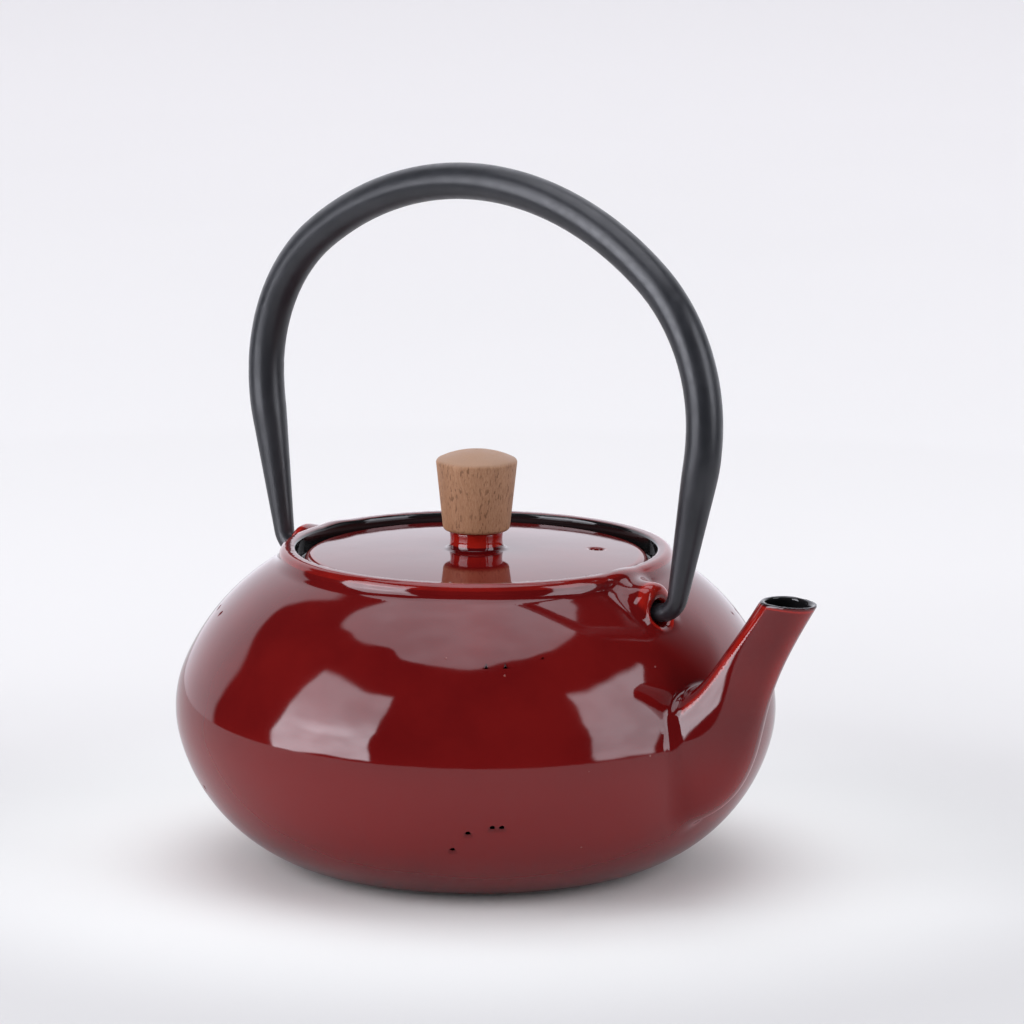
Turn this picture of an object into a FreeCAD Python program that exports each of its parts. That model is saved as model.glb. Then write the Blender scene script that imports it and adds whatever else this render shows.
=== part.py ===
import FreeCAD, Part
import math
import os

import Sketcher
from FreeCAD import Placement, Rotation, Vector

# An enamelled cast-iron kettle: a low round body with a raised collar, two ears and a pouring spout,
# a flat drop-in lid with a turned wooden knob, a steel bail that swings in the ears, and a perforated
# steel infuser that hangs on the ledge under the lid.
# Frame: +Z up, origin on the table at the body's axis, +X towards the spout, millimetres.

SIZES = {
    # Body: three tangent arcs, turned about Z.
    "belly_radius": 82.5,
    "belly_height": 42.8,
    "belly_bow": 29.7,
    "shoulder_bow": 59.0,
    "shoulder_turn": 22.6,
    "under_bow": 48.5,
    "under_turn": 13.4,
    "wall": 3.0,
    # Collar round the mouth, and the ledge inside it that the infuser and lid rest on.
    "collar_radius": 54.0,
    "collar_rise": 3.76,
    "collar_round": 2.2,
    "collar_wall": 4.5,
    "collar_depth": 5.6,
    "lip_round": 0.9,
    "ledge_thickness": 3.0,
    "ledge_width": 5.0,
    # Ears that carry the bail.
    "ear_length": 11.0,
    "ear_offset": 1.9,
    "ear_round": 5.9,
    "ear_nose_round": 4.5,
    "ear_nose_length": 1.6,
    "ear_root_inset": 0.4,
    "ear_root_wide": 8.0,
    "ear_root_deep": 6.2,
    "ear_bore_play": 0.9,
    "ear_bore_depth": 4.7,
    "ear_pad_margin": 2.8,
    "ear_pad_wall": 3.0,
    "pivot_rise": 1.81,
    # Spout: each station's centre from the belly's widest point, its slope, half depth and half width.
    "spout_root_out": -20.5,
    "spout_root_up": -3.8,
    "spout_root_slope": 12.0,
    "spout_root_deep": 22.0,
    "spout_root_wide": 15.2,
    "spout_hip_out": -2.5,
    "spout_hip_up": 1.0,
    "spout_hip_slope": 36.0,
    "spout_hip_deep": 16.6,
    "spout_hip_wide": 15.2,
    "spout_waist_out": 7.8,
    "spout_waist_up": 12.7,
    "spout_waist_slope": 58.0,
    "spout_waist_deep": 10.2,
    "spout_waist_wide": 10.2,
    "spout_neck_out": 14.1,
    "spout_neck_up": 23.7,
    "spout_neck_slope": 60.0,
    "spout_neck_deep": 8.0,
    "spout_neck_wide": 7.9,
    "spout_throat_out": 20.1,
    "spout_throat_up": 33.2,
    "spout_throat_slope": 57.0,
    "spout_throat_deep": 7.1,
    "spout_throat_wide": 7.0,
    "spout_end_out": 28.7,
    "spout_end_up": 46.4,
    "spout_end_slope": 56.5,
    "spout_end_deep": 6.9,
    "spout_end_wide": 6.7,
    "spout_lip_out": 26.8,
    "spout_lip_up": 43.5,
    "spout_lip_drop": 2.3,
    "spout_wall": 1.4,
    # Lid.
    "lid_play": 2.2,
    "lid_thickness": 2.6,
    "lid_dome": 1.5,
    "lid_edge_round": 1.2,
    "lid_web": 2.6,
    "lid_skirt_play": 0.55,
    "lid_skirt_wall": 2.4,
    "lid_skirt_depth": 5.0,
    "neck_radius": 7.5,
    "neck_flare": 1.0,
    "neck_height": 5.2,
    "vent_radius": 1.7,
    "vent_inset": 14.2,
    "vent_angle": 45.6,
    # Knob and the screw that holds it.
    "knob_foot_radius": 9.1,
    "knob_foot_round": 1.2,
    "knob_top_radius": 11.2,
    "knob_height": 19.1,
    "knob_crown_rise": 3.4,
    "screw_radius": 2.0,
    "screw_play": 0.08,
    "screw_bite": 11.8,
    "screw_head_radius": 3.8,
    "screw_head_height": 2.4,
    "screw_slot_width": 1.0,
    "screw_slot_depth": 1.2,
    "washer_radius": 5.0,
    "washer_thickness": 0.8,
    # Bail: a round bar bent to an arch, its ends drawn down and hooked into the ears.
    "bail_radius": 5.0,
    "bail_shoulder": 49.3,
    "bail_arch_rise": 59.2,
    "bail_leg_rise": 50.8,
    "bail_leg_bow": 61.5,
    "bail_leg_tilt": 10.9,
    "bail_ankle_radius": 2.8,
    "bail_hook_bend": 6.2,
    "bail_hook_radius": 2.5,
    "bail_pin_gap": 0.6,
    "bail_lean": 1.4,
    # Infuser.
    "infuser_mouth_play": 2.5,
    "infuser_flange_play": 2.5,
    "infuser_sheet": 0.5,
    "infuser_flange_thickness": 0.9,
    "infuser_collar_depth": 9.0,
    "infuser_depth": 50.5,
    "infuser_pan_depth": 7.0,
    "infuser_play": 0.05,
    "infuser_lap": 2.0,
    "slot_width": 2.0,
    "slot_height": 6.5,
    "slot_pitch_height": 9.0,
    "slot_rows": 3,
    "slot_pairs": 18,
    "floor_hole_radius": 1.4,
    "floor_margin": 7.0,
    "floor_rings": 5,
}

# Sizes and places that follow from the ones above, so that what fits together stays together.
FOLLOWING = {
    "shoulder_centre_reach": (
        "belly_radius - belly_bow - (shoulder_bow - belly_bow) * cos(shoulder_turn * 1 deg)"
    ),
    "shoulder_centre_height": "belly_height - (shoulder_bow - belly_bow) * sin(shoulder_turn * 1 deg)",
    "shoulder_top": (
        "shoulder_centre_height + sqrt(shoulder_bow ^ 2 - (collar_radius - shoulder_centre_reach) ^ 2)"
    ),
    "collar_height": "shoulder_top + collar_rise",
    "collar_bore": "collar_radius - collar_wall",
    "ledge_height": "collar_height - collar_depth",
    "mouth_radius": "collar_bore - ledge_width",
    "ear_reach": "collar_radius + ear_length",
    "ear_root_reach": "collar_bore + ear_root_inset",
    "ear_bore_radius": "bail_hook_radius + ear_bore_play",
    "ear_bore_floor": "ear_reach - ear_bore_depth",
    "ear_pad_radius": "ear_bore_radius + ear_pad_margin",
    "ear_foot": (
        "shoulder_centre_height + sqrt(shoulder_bow ^ 2 - (ear_reach - shoulder_centre_reach) ^ 2)"
    ),
    "bail_pivot_height": "ear_foot + pivot_rise",
    "ear_height": "bail_pivot_height + ear_offset",
    "infuser_flange_radius": "collar_bore - infuser_flange_play",
    "infuser_radius": "mouth_radius - infuser_mouth_play",
    "infuser_floor_height": "ledge_height - infuser_depth",
    "floor_ring_pitch": "(infuser_radius - floor_margin) / floor_rings",
    "lid_radius": "collar_bore - lid_play",
    "lid_seat": "ledge_height + infuser_flange_thickness",
    "lid_edge_height": "lid_seat + lid_thickness",
    "lid_crown_height": "lid_edge_height + lid_dome",
    "lid_skirt_radius": "infuser_radius - 2 * infuser_sheet - infuser_play - lid_skirt_play",
    "neck_top": "lid_crown_height + neck_height",
    "vent_reach": "lid_radius - vent_inset",
    "knob_edge_height": "neck_top + knob_height",
    "knob_crown_height": "knob_edge_height + knob_crown_rise",
    "screw_reach": "neck_top + screw_bite",
    "bail_shoulder_height": "bail_pivot_height + bail_leg_rise",
    "bail_crown_height": "bail_shoulder_height + bail_arch_rise",
    "bail_fall": (
        "bail_leg_rise - bail_hook_bend - (bail_leg_bow - bail_hook_bend) * sin(bail_leg_tilt * 1 deg)"
    ),
    "bail_spread": (
        "bail_fall * tan(bail_leg_tilt * 1 deg) + bail_leg_bow * (1 - cos(bail_leg_tilt * 1 deg))"
    ),
    "bail_half_width": "ear_reach + bail_hook_bend * cos(bail_leg_tilt * 1 deg) + bail_spread",
}
for station in ("root", "hip", "waist", "neck", "throat", "end", "lip"):
    FOLLOWING[f"spout_{station}_reach"] = f"belly_radius + spout_{station}_out"
    FOLLOWING[f"spout_{station}_height"] = f"belly_height + spout_{station}_up"

PAST = 5.0            # how far a cutting solid runs past what it cuts
FIRST_RING_HOLES = 6  # holes in the infuser's innermost ring, and how many more each next ring has
TRIM_SPANS = 4        # half width of the block that levels the spout, in half depths of its mouth

doc = FreeCAD.newDocument("kettle")
sheet = doc.addObject("Spreadsheet::Sheet", "Sizes")


def fill_sheet():
    """Writes each size to the sheet as a named cell: a number, or the formula that it follows."""
    cells = {**SIZES, **{alias: f"={formula}" for alias, formula in FOLLOWING.items()}}
    for row, (alias, content) in enumerate(cells.items(), start=1):
        sheet.set(f"A{row}", alias)
        sheet.set(f"B{row}", str(content))
        sheet.setAlias(f"B{row}", alias)
    doc.recompute()


def size(alias):
    """The value of one named cell."""
    return float(sheet.get(alias))


def cell(text):
    """Turns 'wall + lip' into the expression 'Sizes.wall + Sizes.lip'."""
    words = text.replace("(", "( ").replace(")", " )").split()
    return " ".join(f"Sizes.{word}" if word in SIZES or word in FOLLOWING else word for word in words)


def bind(thing, **sizes):
    """Binds properties to expressions; a double underscore in a key stands for a dot."""
    for name, text in sizes.items():
        thing.setExpression(name.replace("__", "."), cell(text))


# ---------------------------------------------------------------- sketches


def origin_plane(body, role):
    """One of a body's own origin planes, such as XZ_Plane."""
    return next(plane for plane in body.Origin.OriginFeatures if plane.Role == role)


def new_body(name):
    """A PartDesign body whose label is its node's name."""
    body = doc.addObject("PartDesign::Body", name)
    body.Label = name
    return body


def new_sketch(name, body, role="XZ_Plane"):
    """A sketch on one of the body's origin planes."""
    sketch = body.newObject("Sketcher::SketchObject", name)
    sketch.AttachmentSupport = [(origin_plane(body, role), "")]
    sketch.MapMode = "FlatFace"
    return sketch


class Outline:
    """A closed outline of lines and arcs, drawn end to end and tied to the sheet.

    ends holds each edge's number in the sketch with its first and last point, 1 the start and 2 the end.
    """

    def __init__(self, sketch):
        self.sketch = sketch
        self.ends = []

    def line(self, start, end):
        """A straight edge between two (x, y) places."""
        index = self.sketch.addGeometry(Part.LineSegment(Vector(*start, 0), Vector(*end, 0)))
        self.ends.append((index, 1, 2))
        return index

    def arc(self, centre, start, end, left_turn=True):
        """An arc round a centre; left_turn is False where the outline turns clockwise."""
        radius = math.dist(centre, start)
        angles = [math.atan2(place[1] - centre[1], place[0] - centre[0]) for place in (start, end)]
        first, last = angles if left_turn else reversed(angles)
        circle = Part.Circle(Vector(*centre, 0), Vector(0, 0, 1), radius)
        index = self.sketch.addGeometry(Part.ArcOfCircle(circle, first, last))
        self.ends.append((index, 1, 2) if left_turn else (index, 2, 1))
        return index

    def close(self, tangents=()):
        """Joins each edge to the next; tangents lists the edges that run smoothly into the next one."""
        for here, after in zip(self.ends, self.ends[1:] + self.ends[:1]):
            kind = "Tangent" if here[0] in tangents else "Coincident"
            self.sketch.addConstraint(Sketcher.Constraint(kind, here[0], here[2], after[0], after[1]))

    def place(self, edge, point, across=None, up=None):
        """Ties a point's distances from the sketch's axes; point is 1 start, 2 end, 3 centre."""
        for kind, axis, text in (("DistanceX", -2, across), ("DistanceY", -1, up)):
            if text == "0":
                self.sketch.addConstraint(Sketcher.Constraint("PointOnObject", edge, point, axis))
            elif text is not None:
                where = self.sketch.getPoint(edge, point)
                value = where.x if kind == "DistanceX" else where.y
                self.tie(Sketcher.Constraint(kind, -1, 1, edge, point, value), text)

    def radius(self, edge, text):
        """Ties an arc's radius."""
        value = self.sketch.Geometry[edge].Radius
        self.tie(Sketcher.Constraint("Radius", edge, value), text)

    def level(self, *edges):
        """Makes edges horizontal."""
        for edge in edges:
            self.sketch.addConstraint(Sketcher.Constraint("Horizontal", edge))

    def upright(self, *edges):
        """Makes edges vertical."""
        for edge in edges:
            self.sketch.addConstraint(Sketcher.Constraint("Vertical", edge))

    def tie(self, constraint, text):
        """Adds a dimension and binds it to the sheet."""
        index = self.sketch.addConstraint(constraint)
        self.sketch.setExpression(f"Constraints[{index}]", cell(text))


def on_arc(centre, radius, angle):
    """The place at an angle, in degrees, on a circle."""
    turn = math.radians(angle)
    return (centre[0] + radius * math.cos(turn), centre[1] + radius * math.sin(turn))


def turn_about_axis(body, sketch, name):
    """Revolves a sketch a full turn about the body's Z axis."""
    feature = body.newObject("PartDesign::Revolution", name)
    feature.Profile = sketch
    feature.ReferenceAxis = (sketch, ["V_Axis"])
    feature.Angle = 360
    return feature


# ---------------------------------------------------------------- kettle body


def shell_arcs(outline, inset, low, high, high_along):
    """The body's wall as three tangent arcs, set in by a distance, from floor height low to its top.

    The top lies at radius high, or at height high where high_along is 'up'. Returns the arcs' ends.
    """
    shift = size("wall") if inset else 0.0
    less = " - wall" if inset else ""
    belly_centre = (size("belly_radius") - size("belly_bow"), size("belly_height"))
    under_extra = size("under_bow") - size("belly_bow")
    under_centre = on_arc(belly_centre, under_extra, 180 - size("under_turn"))
    shoulder_centre = (size("shoulder_centre_reach"), size("shoulder_centre_height"))
    under_radius = size("under_bow") - shift
    belly_radius = size("belly_bow") - shift
    shoulder_radius = size("shoulder_bow") - shift
    foot = (under_centre[0] + math.sqrt(under_radius**2 - (low - under_centre[1]) ** 2), low)
    lower_join = on_arc(belly_centre, belly_radius, -size("under_turn"))
    upper_join = on_arc(belly_centre, belly_radius, size("shoulder_turn"))
    if high_along == "up":
        rise = high - shoulder_centre[1]
        top = (shoulder_centre[0] + math.sqrt(shoulder_radius**2 - rise**2), high)
    else:
        run = high - shoulder_centre[0]
        top = (high, shoulder_centre[1] + math.sqrt(shoulder_radius**2 - run**2))
    outline.line((0, low), foot)
    under = outline.arc(under_centre, foot, lower_join)
    belly = outline.arc(belly_centre, lower_join, upper_join)
    shoulder = outline.arc(shoulder_centre, upper_join, top)
    return under, belly, shoulder, top, less


def tie_shell_arcs(outline, under, belly, shoulder, less):
    """Ties the three arcs' radii and centres to the sheet."""
    outline.radius(under, "under_bow" + less)
    outline.radius(belly, "belly_bow" + less)
    outline.radius(shoulder, "shoulder_bow" + less)
    outline.place(belly, 3, "belly_radius - belly_bow", "belly_height")
    under_reach = "belly_radius - belly_bow - (under_bow - belly_bow) * cos( under_turn * 1 deg )"
    outline.place(under, 3, across=under_reach)
    outline.place(shoulder, 3, across="shoulder_centre_reach")


def solid_form():
    """The casting's turned form before it is hollowed: foot, belly, shoulder and collar."""
    body = new_body("turned_form")
    sketch = new_sketch("turned_form_outline", body)
    outline = Outline(sketch)
    rim_start = (size("collar_radius"), size("collar_height") - size("collar_round"))
    rim_centre = (size("collar_radius") - size("collar_round"), rim_start[1])
    rim_end = (rim_centre[0], size("collar_height"))
    under, belly, shoulder, top, less = shell_arcs(outline, False, 0.0, size("collar_radius"), "across")
    side = outline.line(top, rim_start)
    rim = outline.arc(rim_centre, rim_start, rim_end)
    lid_plane = outline.line(rim_end, (0, size("collar_height")))
    axis = outline.line((0, size("collar_height")), (0, 0))
    outline.close(tangents=(under, belly, side))
    tie_shell_arcs(outline, under, belly, shoulder, less)
    outline.place(0, 1, "0", "0")
    outline.level(0, lid_plane)
    outline.upright(side, axis)
    outline.place(side, 1, across="collar_radius")
    outline.radius(rim, "collar_round")
    outline.place(rim, 2, "collar_radius - collar_round", "collar_height")
    turn_about_axis(body, sketch, "turned_form_solid")
    return body


def hollow():
    """The space inside the casting: cavity, mouth, ledge and collar bore with its rounded lip."""
    body = new_body("hollow")
    sketch = new_sketch("hollow_outline", body)
    outline = Outline(sketch)
    ceiling = size("ledge_height") - size("ledge_thickness")
    mouth, bore = size("mouth_radius"), size("collar_bore")
    lip_low = (bore, size("collar_height") - size("lip_round"))
    lip_high = (bore + size("lip_round"), size("collar_height"))
    above = size("collar_height") + PAST
    under, belly, shoulder, top, less = shell_arcs(outline, True, size("wall"), ceiling, "up")
    roof = outline.line(top, (mouth, ceiling))
    throat = outline.line((mouth, ceiling), (mouth, size("ledge_height")))
    ledge = outline.line((mouth, size("ledge_height")), (bore, size("ledge_height")))
    side = outline.line((bore, size("ledge_height")), lip_low)
    lip = outline.arc((lip_high[0], lip_low[1]), lip_low, lip_high, left_turn=False)
    rise = outline.line(lip_high, (lip_high[0], above))
    cap = outline.line((lip_high[0], above), (0, above))
    axis = outline.line((0, above), (0, size("wall")))
    outline.close(tangents=(under, belly, side))
    tie_shell_arcs(outline, under, belly, shoulder, less)
    outline.place(0, 1, "0", "wall")
    outline.level(0, roof, ledge, cap)
    outline.upright(throat, side, rise, axis)
    outline.place(throat, 1, "mouth_radius", "ledge_height - ledge_thickness")
    outline.place(ledge, 2, "collar_bore", "ledge_height")
    outline.radius(lip, "lip_round")
    outline.place(lip, 1, "collar_bore + lip_round", "collar_height")
    outline.place(cap, 1, up=f"collar_height + {PAST}")
    turn_about_axis(body, sketch, "hollow_solid")
    return body


SPOUT_STATIONS = ("root", "hip", "waist", "neck", "throat", "end")


def spout_loft(name, inset):
    """A smooth tube through one ellipse per station, set in by the spout's wall where inset is true."""
    less = " - spout_wall" if inset else ""
    rings = []
    for station in SPOUT_STATIONS:
        ring = doc.addObject("Part::Ellipse", f"{name}_{station}")
        where = f"spout_{station}"
        ring.Placement = Placement(Vector(), Rotation(Vector(0, 1, 0), 90))
        bind(
            ring,
            MajorRadius=f"{where}_deep{less}",
            MinorRadius=f"{where}_wide{less}",
            Placement__Base__x=f"{where}_reach",
            Placement__Base__z=f"{where}_height",
            Placement__Rotation__Angle=f"90 - {where}_slope",
        )
        rings.append(ring)
    loft = doc.addObject("Part::Loft", name)
    loft.Sections = rings
    loft.Solid = True
    return loft


def spout_trim():
    """The block above the spout's mouth that levels its end."""
    block = doc.addObject("Part::Box", "spout_trim")
    reach = size("spout_end_deep") * TRIM_SPANS
    block.Length = block.Width = 2 * reach
    block.Height = reach
    drop = Rotation(Vector(0, 1, 0), size("spout_lip_drop"))
    corner = drop.multVec(Vector(-reach, -reach, 0))
    block.Placement = Placement(corner, drop)
    bind(
        block,
        Placement__Base__x=f"spout_lip_reach + {corner.x:.6f}",
        Placement__Base__z=f"spout_lip_height + {corner.z:.6f}",
    )
    return block


def ear(side):
    """One ear: a tapered boss that leaves the collar along X. side is +1 at the spout, -1 behind."""
    name = "spout_ear" if side > 0 else "back_ear"
    rings = []
    for part, wide, deep, reach in (
        ("root", "ear_root_wide", "ear_root_deep", "ear_root_reach"),
        ("shoulder", "ear_round", "ear_round", "ear_reach - ear_nose_length"),
        ("nose", "ear_nose_round", "ear_nose_round", "ear_reach"),
    ):
        ring = doc.addObject("Part::Ellipse", f"{name}_{part}")
        across, up, along = Vector(0, 1, 0), Vector(0, 0, 1), Vector(1, 0, 0)
        ring.Placement = Placement(Vector(), Rotation(across, up, along, "XYZ"))
        bind(
            ring,
            MajorRadius=wide,
            MinorRadius=deep,
            Placement__Base__x=f"{side} * ( {reach} )",
            Placement__Base__z="ear_height",
        )
        rings.append(ring)
    boss = doc.addObject("Part::Loft", name)
    boss.Sections = rings
    boss.Solid = True
    boss.Ruled = True
    return boss


def ear_bore(side):
    """The blind bore that the bail's hooked end turns in, open outwards past the shoulder."""
    bore = doc.addObject("Part::Cylinder", "spout_ear_bore" if side > 0 else "back_ear_bore")
    bore.Placement = Placement(Vector(), Rotation(Vector(0, 1, 0), 90 * side))
    bind(
        bore,
        Radius="ear_bore_radius",
        Height=f"ear_reach - ear_bore_floor + {PAST}",
        Placement__Base__x=f"{side} * ear_bore_floor",
        Placement__Base__z="bail_pivot_height",
    )
    return bore


def ear_pad(side):
    """The round pad inside the wall that backs an ear's bore."""
    pad = doc.addObject("Part::Cylinder", "spout_ear_pad" if side > 0 else "back_ear_pad")
    pad.Placement = Placement(Vector(), Rotation(Vector(0, 1, 0), 90 * side))
    bind(
        pad,
        Radius="ear_pad_radius",
        Height=f"ear_reach - ear_bore_floor + ear_pad_wall + {PAST}",
        Placement__Base__x=f"{side} * ( ear_bore_floor - ear_pad_wall )",
        Placement__Base__z="bail_pivot_height",
    )
    return pad


def group(name, kind, members):
    """Several shapes as one: kind is MultiFuse, or Compound where they lie apart."""
    joined = doc.addObject(f"Part::{kind}", name)
    if kind == "MultiFuse":
        joined.Shapes = members
    else:
        joined.Links = members
    return joined


def cut(name, base, tool):
    """What is left of base when tool is taken away."""
    left = doc.addObject("Part::Cut", name)
    left.Base = base
    left.Tool = tool
    return left


def kettle_body():
    """The one-piece casting: turned form, spout and bored ears, hollowed but for the ear pads."""
    bores = [ear_bore(1), ear_bore(-1)]
    form = cut("bored_form", solid_form(), group("ear_bores", "Compound", bores))
    ears = [cut("spout_ear_bored", ear(1), bores[0]), cut("back_ear_bored", ear(-1), bores[1])]
    outer = group("casting_outer", "MultiFuse", [form, spout_loft("spout_outer", False), *ears])
    cavity = cut("cavity", hollow(), group("ear_pads", "Compound", [ear_pad(1), ear_pad(-1)]))
    inner = group("casting_inner", "MultiFuse", [cavity, spout_loft("spout_passage", True), spout_trim()])
    casting = cut("kettle_body", outer, inner)
    casting.Label = "kettle_body"
    return casting


# ---------------------------------------------------------------- lid, knob and screw


def lid():
    """The lid: a slightly domed plate with a locating skirt below and a neck for the knob."""
    body = new_body("lid")
    sketch = new_sketch("lid_outline", body)
    outline = Outline(sketch)
    seat = size("lid_seat")
    edge = size("lid_edge_height") - size("lid_edge_round")
    plate, crown = size("lid_radius"), size("lid_crown_height")
    rise = crown - size("lid_edge_height")
    rim_in = plate - size("lid_edge_round")
    neck, flare = size("neck_radius"), size("neck_flare")
    skirt_out = size("lid_skirt_radius")
    skirt_in = skirt_out - size("lid_skirt_wall")
    skirt_low = seat - size("lid_skirt_depth")
    hole = size("screw_radius") + size("screw_play")
    run = rim_in - neck - flare
    dome = (run**2 + rise**2) / (2 * rise)
    web = crown - size("lid_web")
    dome_centre = (neck + flare, crown - dome)
    dome_top = (neck + flare, crown)
    under = outline.line((hole, web), (skirt_in, web))
    inside = outline.line((skirt_in, web), (skirt_in, skirt_low))
    foot = outline.line((skirt_in, skirt_low), (skirt_out, skirt_low))
    outside = outline.line((skirt_out, skirt_low), (skirt_out, seat))
    rest = outline.line((skirt_out, seat), (plate, seat))
    side = outline.line((plate, seat), (plate, edge))
    rim = outline.arc((rim_in, edge), (plate, edge), (rim_in, size("lid_edge_height")))
    top = outline.arc(dome_centre, (rim_in, size("lid_edge_height")), dome_top)
    cove = outline.arc((neck + flare, crown + flare), dome_top, (neck, crown + flare), left_turn=False)
    neck_side = outline.line((neck, crown + flare), (neck, size("neck_top")))
    neck_end = outline.line((neck, size("neck_top")), (hole, size("neck_top")))
    bore = outline.line((hole, size("neck_top")), (hole, web))
    outline.close(tangents=(side, cove))
    outline.level(under, foot, rest, neck_end)
    outline.upright(inside, outside, side, neck_side, bore)
    outline.place(under, 1, "screw_radius + screw_play", "lid_crown_height - lid_web")
    outline.place(foot, 1, across="lid_skirt_radius - lid_skirt_wall")
    outline.place(foot, 2, "lid_skirt_radius", "lid_seat - lid_skirt_depth")
    outline.place(rest, 2, "lid_radius", "lid_seat")
    outline.radius(rim, "lid_edge_round")
    outline.place(rim, 2, "lid_radius - lid_edge_round", "lid_edge_height")
    outline.place(top, 3, across="neck_radius + neck_flare")
    outline.place(top, 2, "neck_radius + neck_flare", "lid_crown_height")
    outline.radius(cove, "neck_flare")
    outline.place(neck_end, 1, "neck_radius", "neck_top")
    turn_about_axis(body, sketch, "lid_turned")
    vent(body)
    return body


def vent(body):
    """The steam vent drilled through the lid's plate."""
    sketch = new_sketch("vent_outline", body, "XY_Plane")
    turn = math.radians(size("vent_angle"))
    centre = Vector(size("vent_reach") * math.cos(turn), size("vent_reach") * math.sin(turn), 0)
    outline = Outline(sketch)
    ring = sketch.addGeometry(Part.Circle(centre, Vector(0, 0, 1), size("vent_radius")))
    outline.radius(ring, "vent_radius")
    across = "vent_reach * cos(vent_angle * 1 deg)"
    up = "vent_reach * sin(vent_angle * 1 deg)"
    outline.place(ring, 3, across, up)
    pocket = body.newObject("PartDesign::Pocket", "vent")
    pocket.Profile = sketch
    pocket.Type = "ThroughAll"
    pocket.Reversed = True


def lid_knob():
    """The turned wooden knob: a cone that widens upwards under a low crown, bored for the screw."""
    body = new_body("lid_knob")
    sketch = new_sketch("knob_outline", body)
    outline = Outline(sketch)
    bottom, edge, crown = size("neck_top"), size("knob_edge_height"), size("knob_crown_height")
    foot_round, top_radius = size("knob_foot_round"), size("knob_top_radius")
    hole = size("screw_radius") + size("screw_play")
    hole_end = size("screw_reach") + size("screw_play")
    foot = size("knob_foot_radius")
    dome = (top_radius**2 + (crown - edge) ** 2) / (2 * (crown - edge))
    flat = outline.line((hole, bottom), (foot - foot_round, bottom))
    round_end = (foot, bottom + foot_round)
    curve = outline.arc((foot - foot_round, bottom + foot_round), (foot - foot_round, bottom), round_end)
    flank = outline.line(round_end, (top_radius, edge))
    cap = outline.arc((0, crown - dome), (top_radius, edge), (0, crown))
    axis = outline.line((0, crown), (0, hole_end))
    hole_roof = outline.line((0, hole_end), (hole, hole_end))
    bore = outline.line((hole, hole_end), (hole, bottom))
    outline.close(tangents=(flat,))
    outline.level(flat, hole_roof)
    outline.upright(axis, bore)
    outline.place(flat, 1, "screw_radius + screw_play", "neck_top")
    outline.radius(curve, "knob_foot_round")
    outline.place(curve, 2, "knob_foot_radius", "neck_top + knob_foot_round")
    outline.place(cap, 1, "knob_top_radius", "knob_edge_height")
    outline.place(cap, 2, "0", "knob_crown_height")
    outline.place(cap, 3, across="0")
    outline.place(hole_roof, 1, up="screw_reach + screw_play")
    turn_about_axis(body, sketch, "knob_turned")
    return body


def knob_screw():
    """The screw that comes up through washer, lid and neck into the knob, with a slotted head."""
    body = new_body("knob_screw")
    sketch = new_sketch("screw_outline", body)
    outline = Outline(sketch)
    seat = size("lid_crown_height") - size("lid_web") - size("washer_thickness")
    low = seat - size("screw_head_height")
    shank, head = size("screw_radius"), size("screw_head_radius")
    end = size("screw_reach")
    bottom = outline.line((0, low), (head, low))
    side = outline.line((head, low), (head, seat))
    collar = outline.line((head, seat), (shank, seat))
    shaft = outline.line((shank, seat), (shank, end))
    tip = outline.line((shank, end), (0, end))
    axis = outline.line((0, end), (0, low))
    outline.close()
    outline.level(bottom, collar, tip)
    outline.upright(side, shaft, axis)
    level = "lid_crown_height - lid_web - washer_thickness"
    outline.place(bottom, 1, "0", f"{level} - screw_head_height")
    outline.place(side, 2, "screw_head_radius", level)
    outline.place(shaft, 2, "screw_radius", "screw_reach")
    turn_about_axis(body, sketch, "screw_turned")
    slot = new_sketch("screw_slot_outline", body, "XZ_Plane")
    half = size("screw_slot_width") / 2
    notch = Outline(slot)
    corners = [(-half, low), (half, low), (half, low + size("screw_slot_depth"))]
    corners.append((-half, corners[2][1]))
    edges = [notch.line(a, b) for a, b in zip(corners, corners[1:] + corners[:1])]
    notch.close()
    notch.level(edges[0], edges[2])
    notch.upright(edges[1], edges[3])
    notch.place(edges[0], 1, "-0.5 * screw_slot_width", f"{level} - screw_head_height")
    notch.place(edges[1], 2, "0.5 * screw_slot_width", f"{level} - screw_head_height + screw_slot_depth")
    pocket = body.newObject("PartDesign::Pocket", "screw_slot")
    pocket.Profile = slot
    pocket.Midplane = True
    pocket.Type = "Length"
    bind(pocket, Length=f"2 * screw_head_radius + {PAST}")
    return body


def knob_washer():
    """The flat washer between the screw's head and the lid."""
    body = new_body("knob_washer")
    sketch = new_sketch("washer_outline", body)
    outline = Outline(sketch)
    top = size("lid_crown_height") - size("lid_web")
    low = top - size("washer_thickness")
    hole, rim = size("screw_radius") + size("screw_play"), size("washer_radius")
    bottom = outline.line((hole, low), (rim, low))
    side = outline.line((rim, low), (rim, top))
    face = outline.line((rim, top), (hole, top))
    bore = outline.line((hole, top), (hole, low))
    outline.close()
    outline.level(bottom, face)
    outline.upright(side, bore)
    outline.place(bottom, 1, "screw_radius + screw_play", "lid_crown_height - lid_web - washer_thickness")
    outline.place(side, 2, "washer_radius", "lid_crown_height - lid_web")
    turn_about_axis(body, sketch, "washer_turned")
    return body


# ---------------------------------------------------------------- bail


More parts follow.
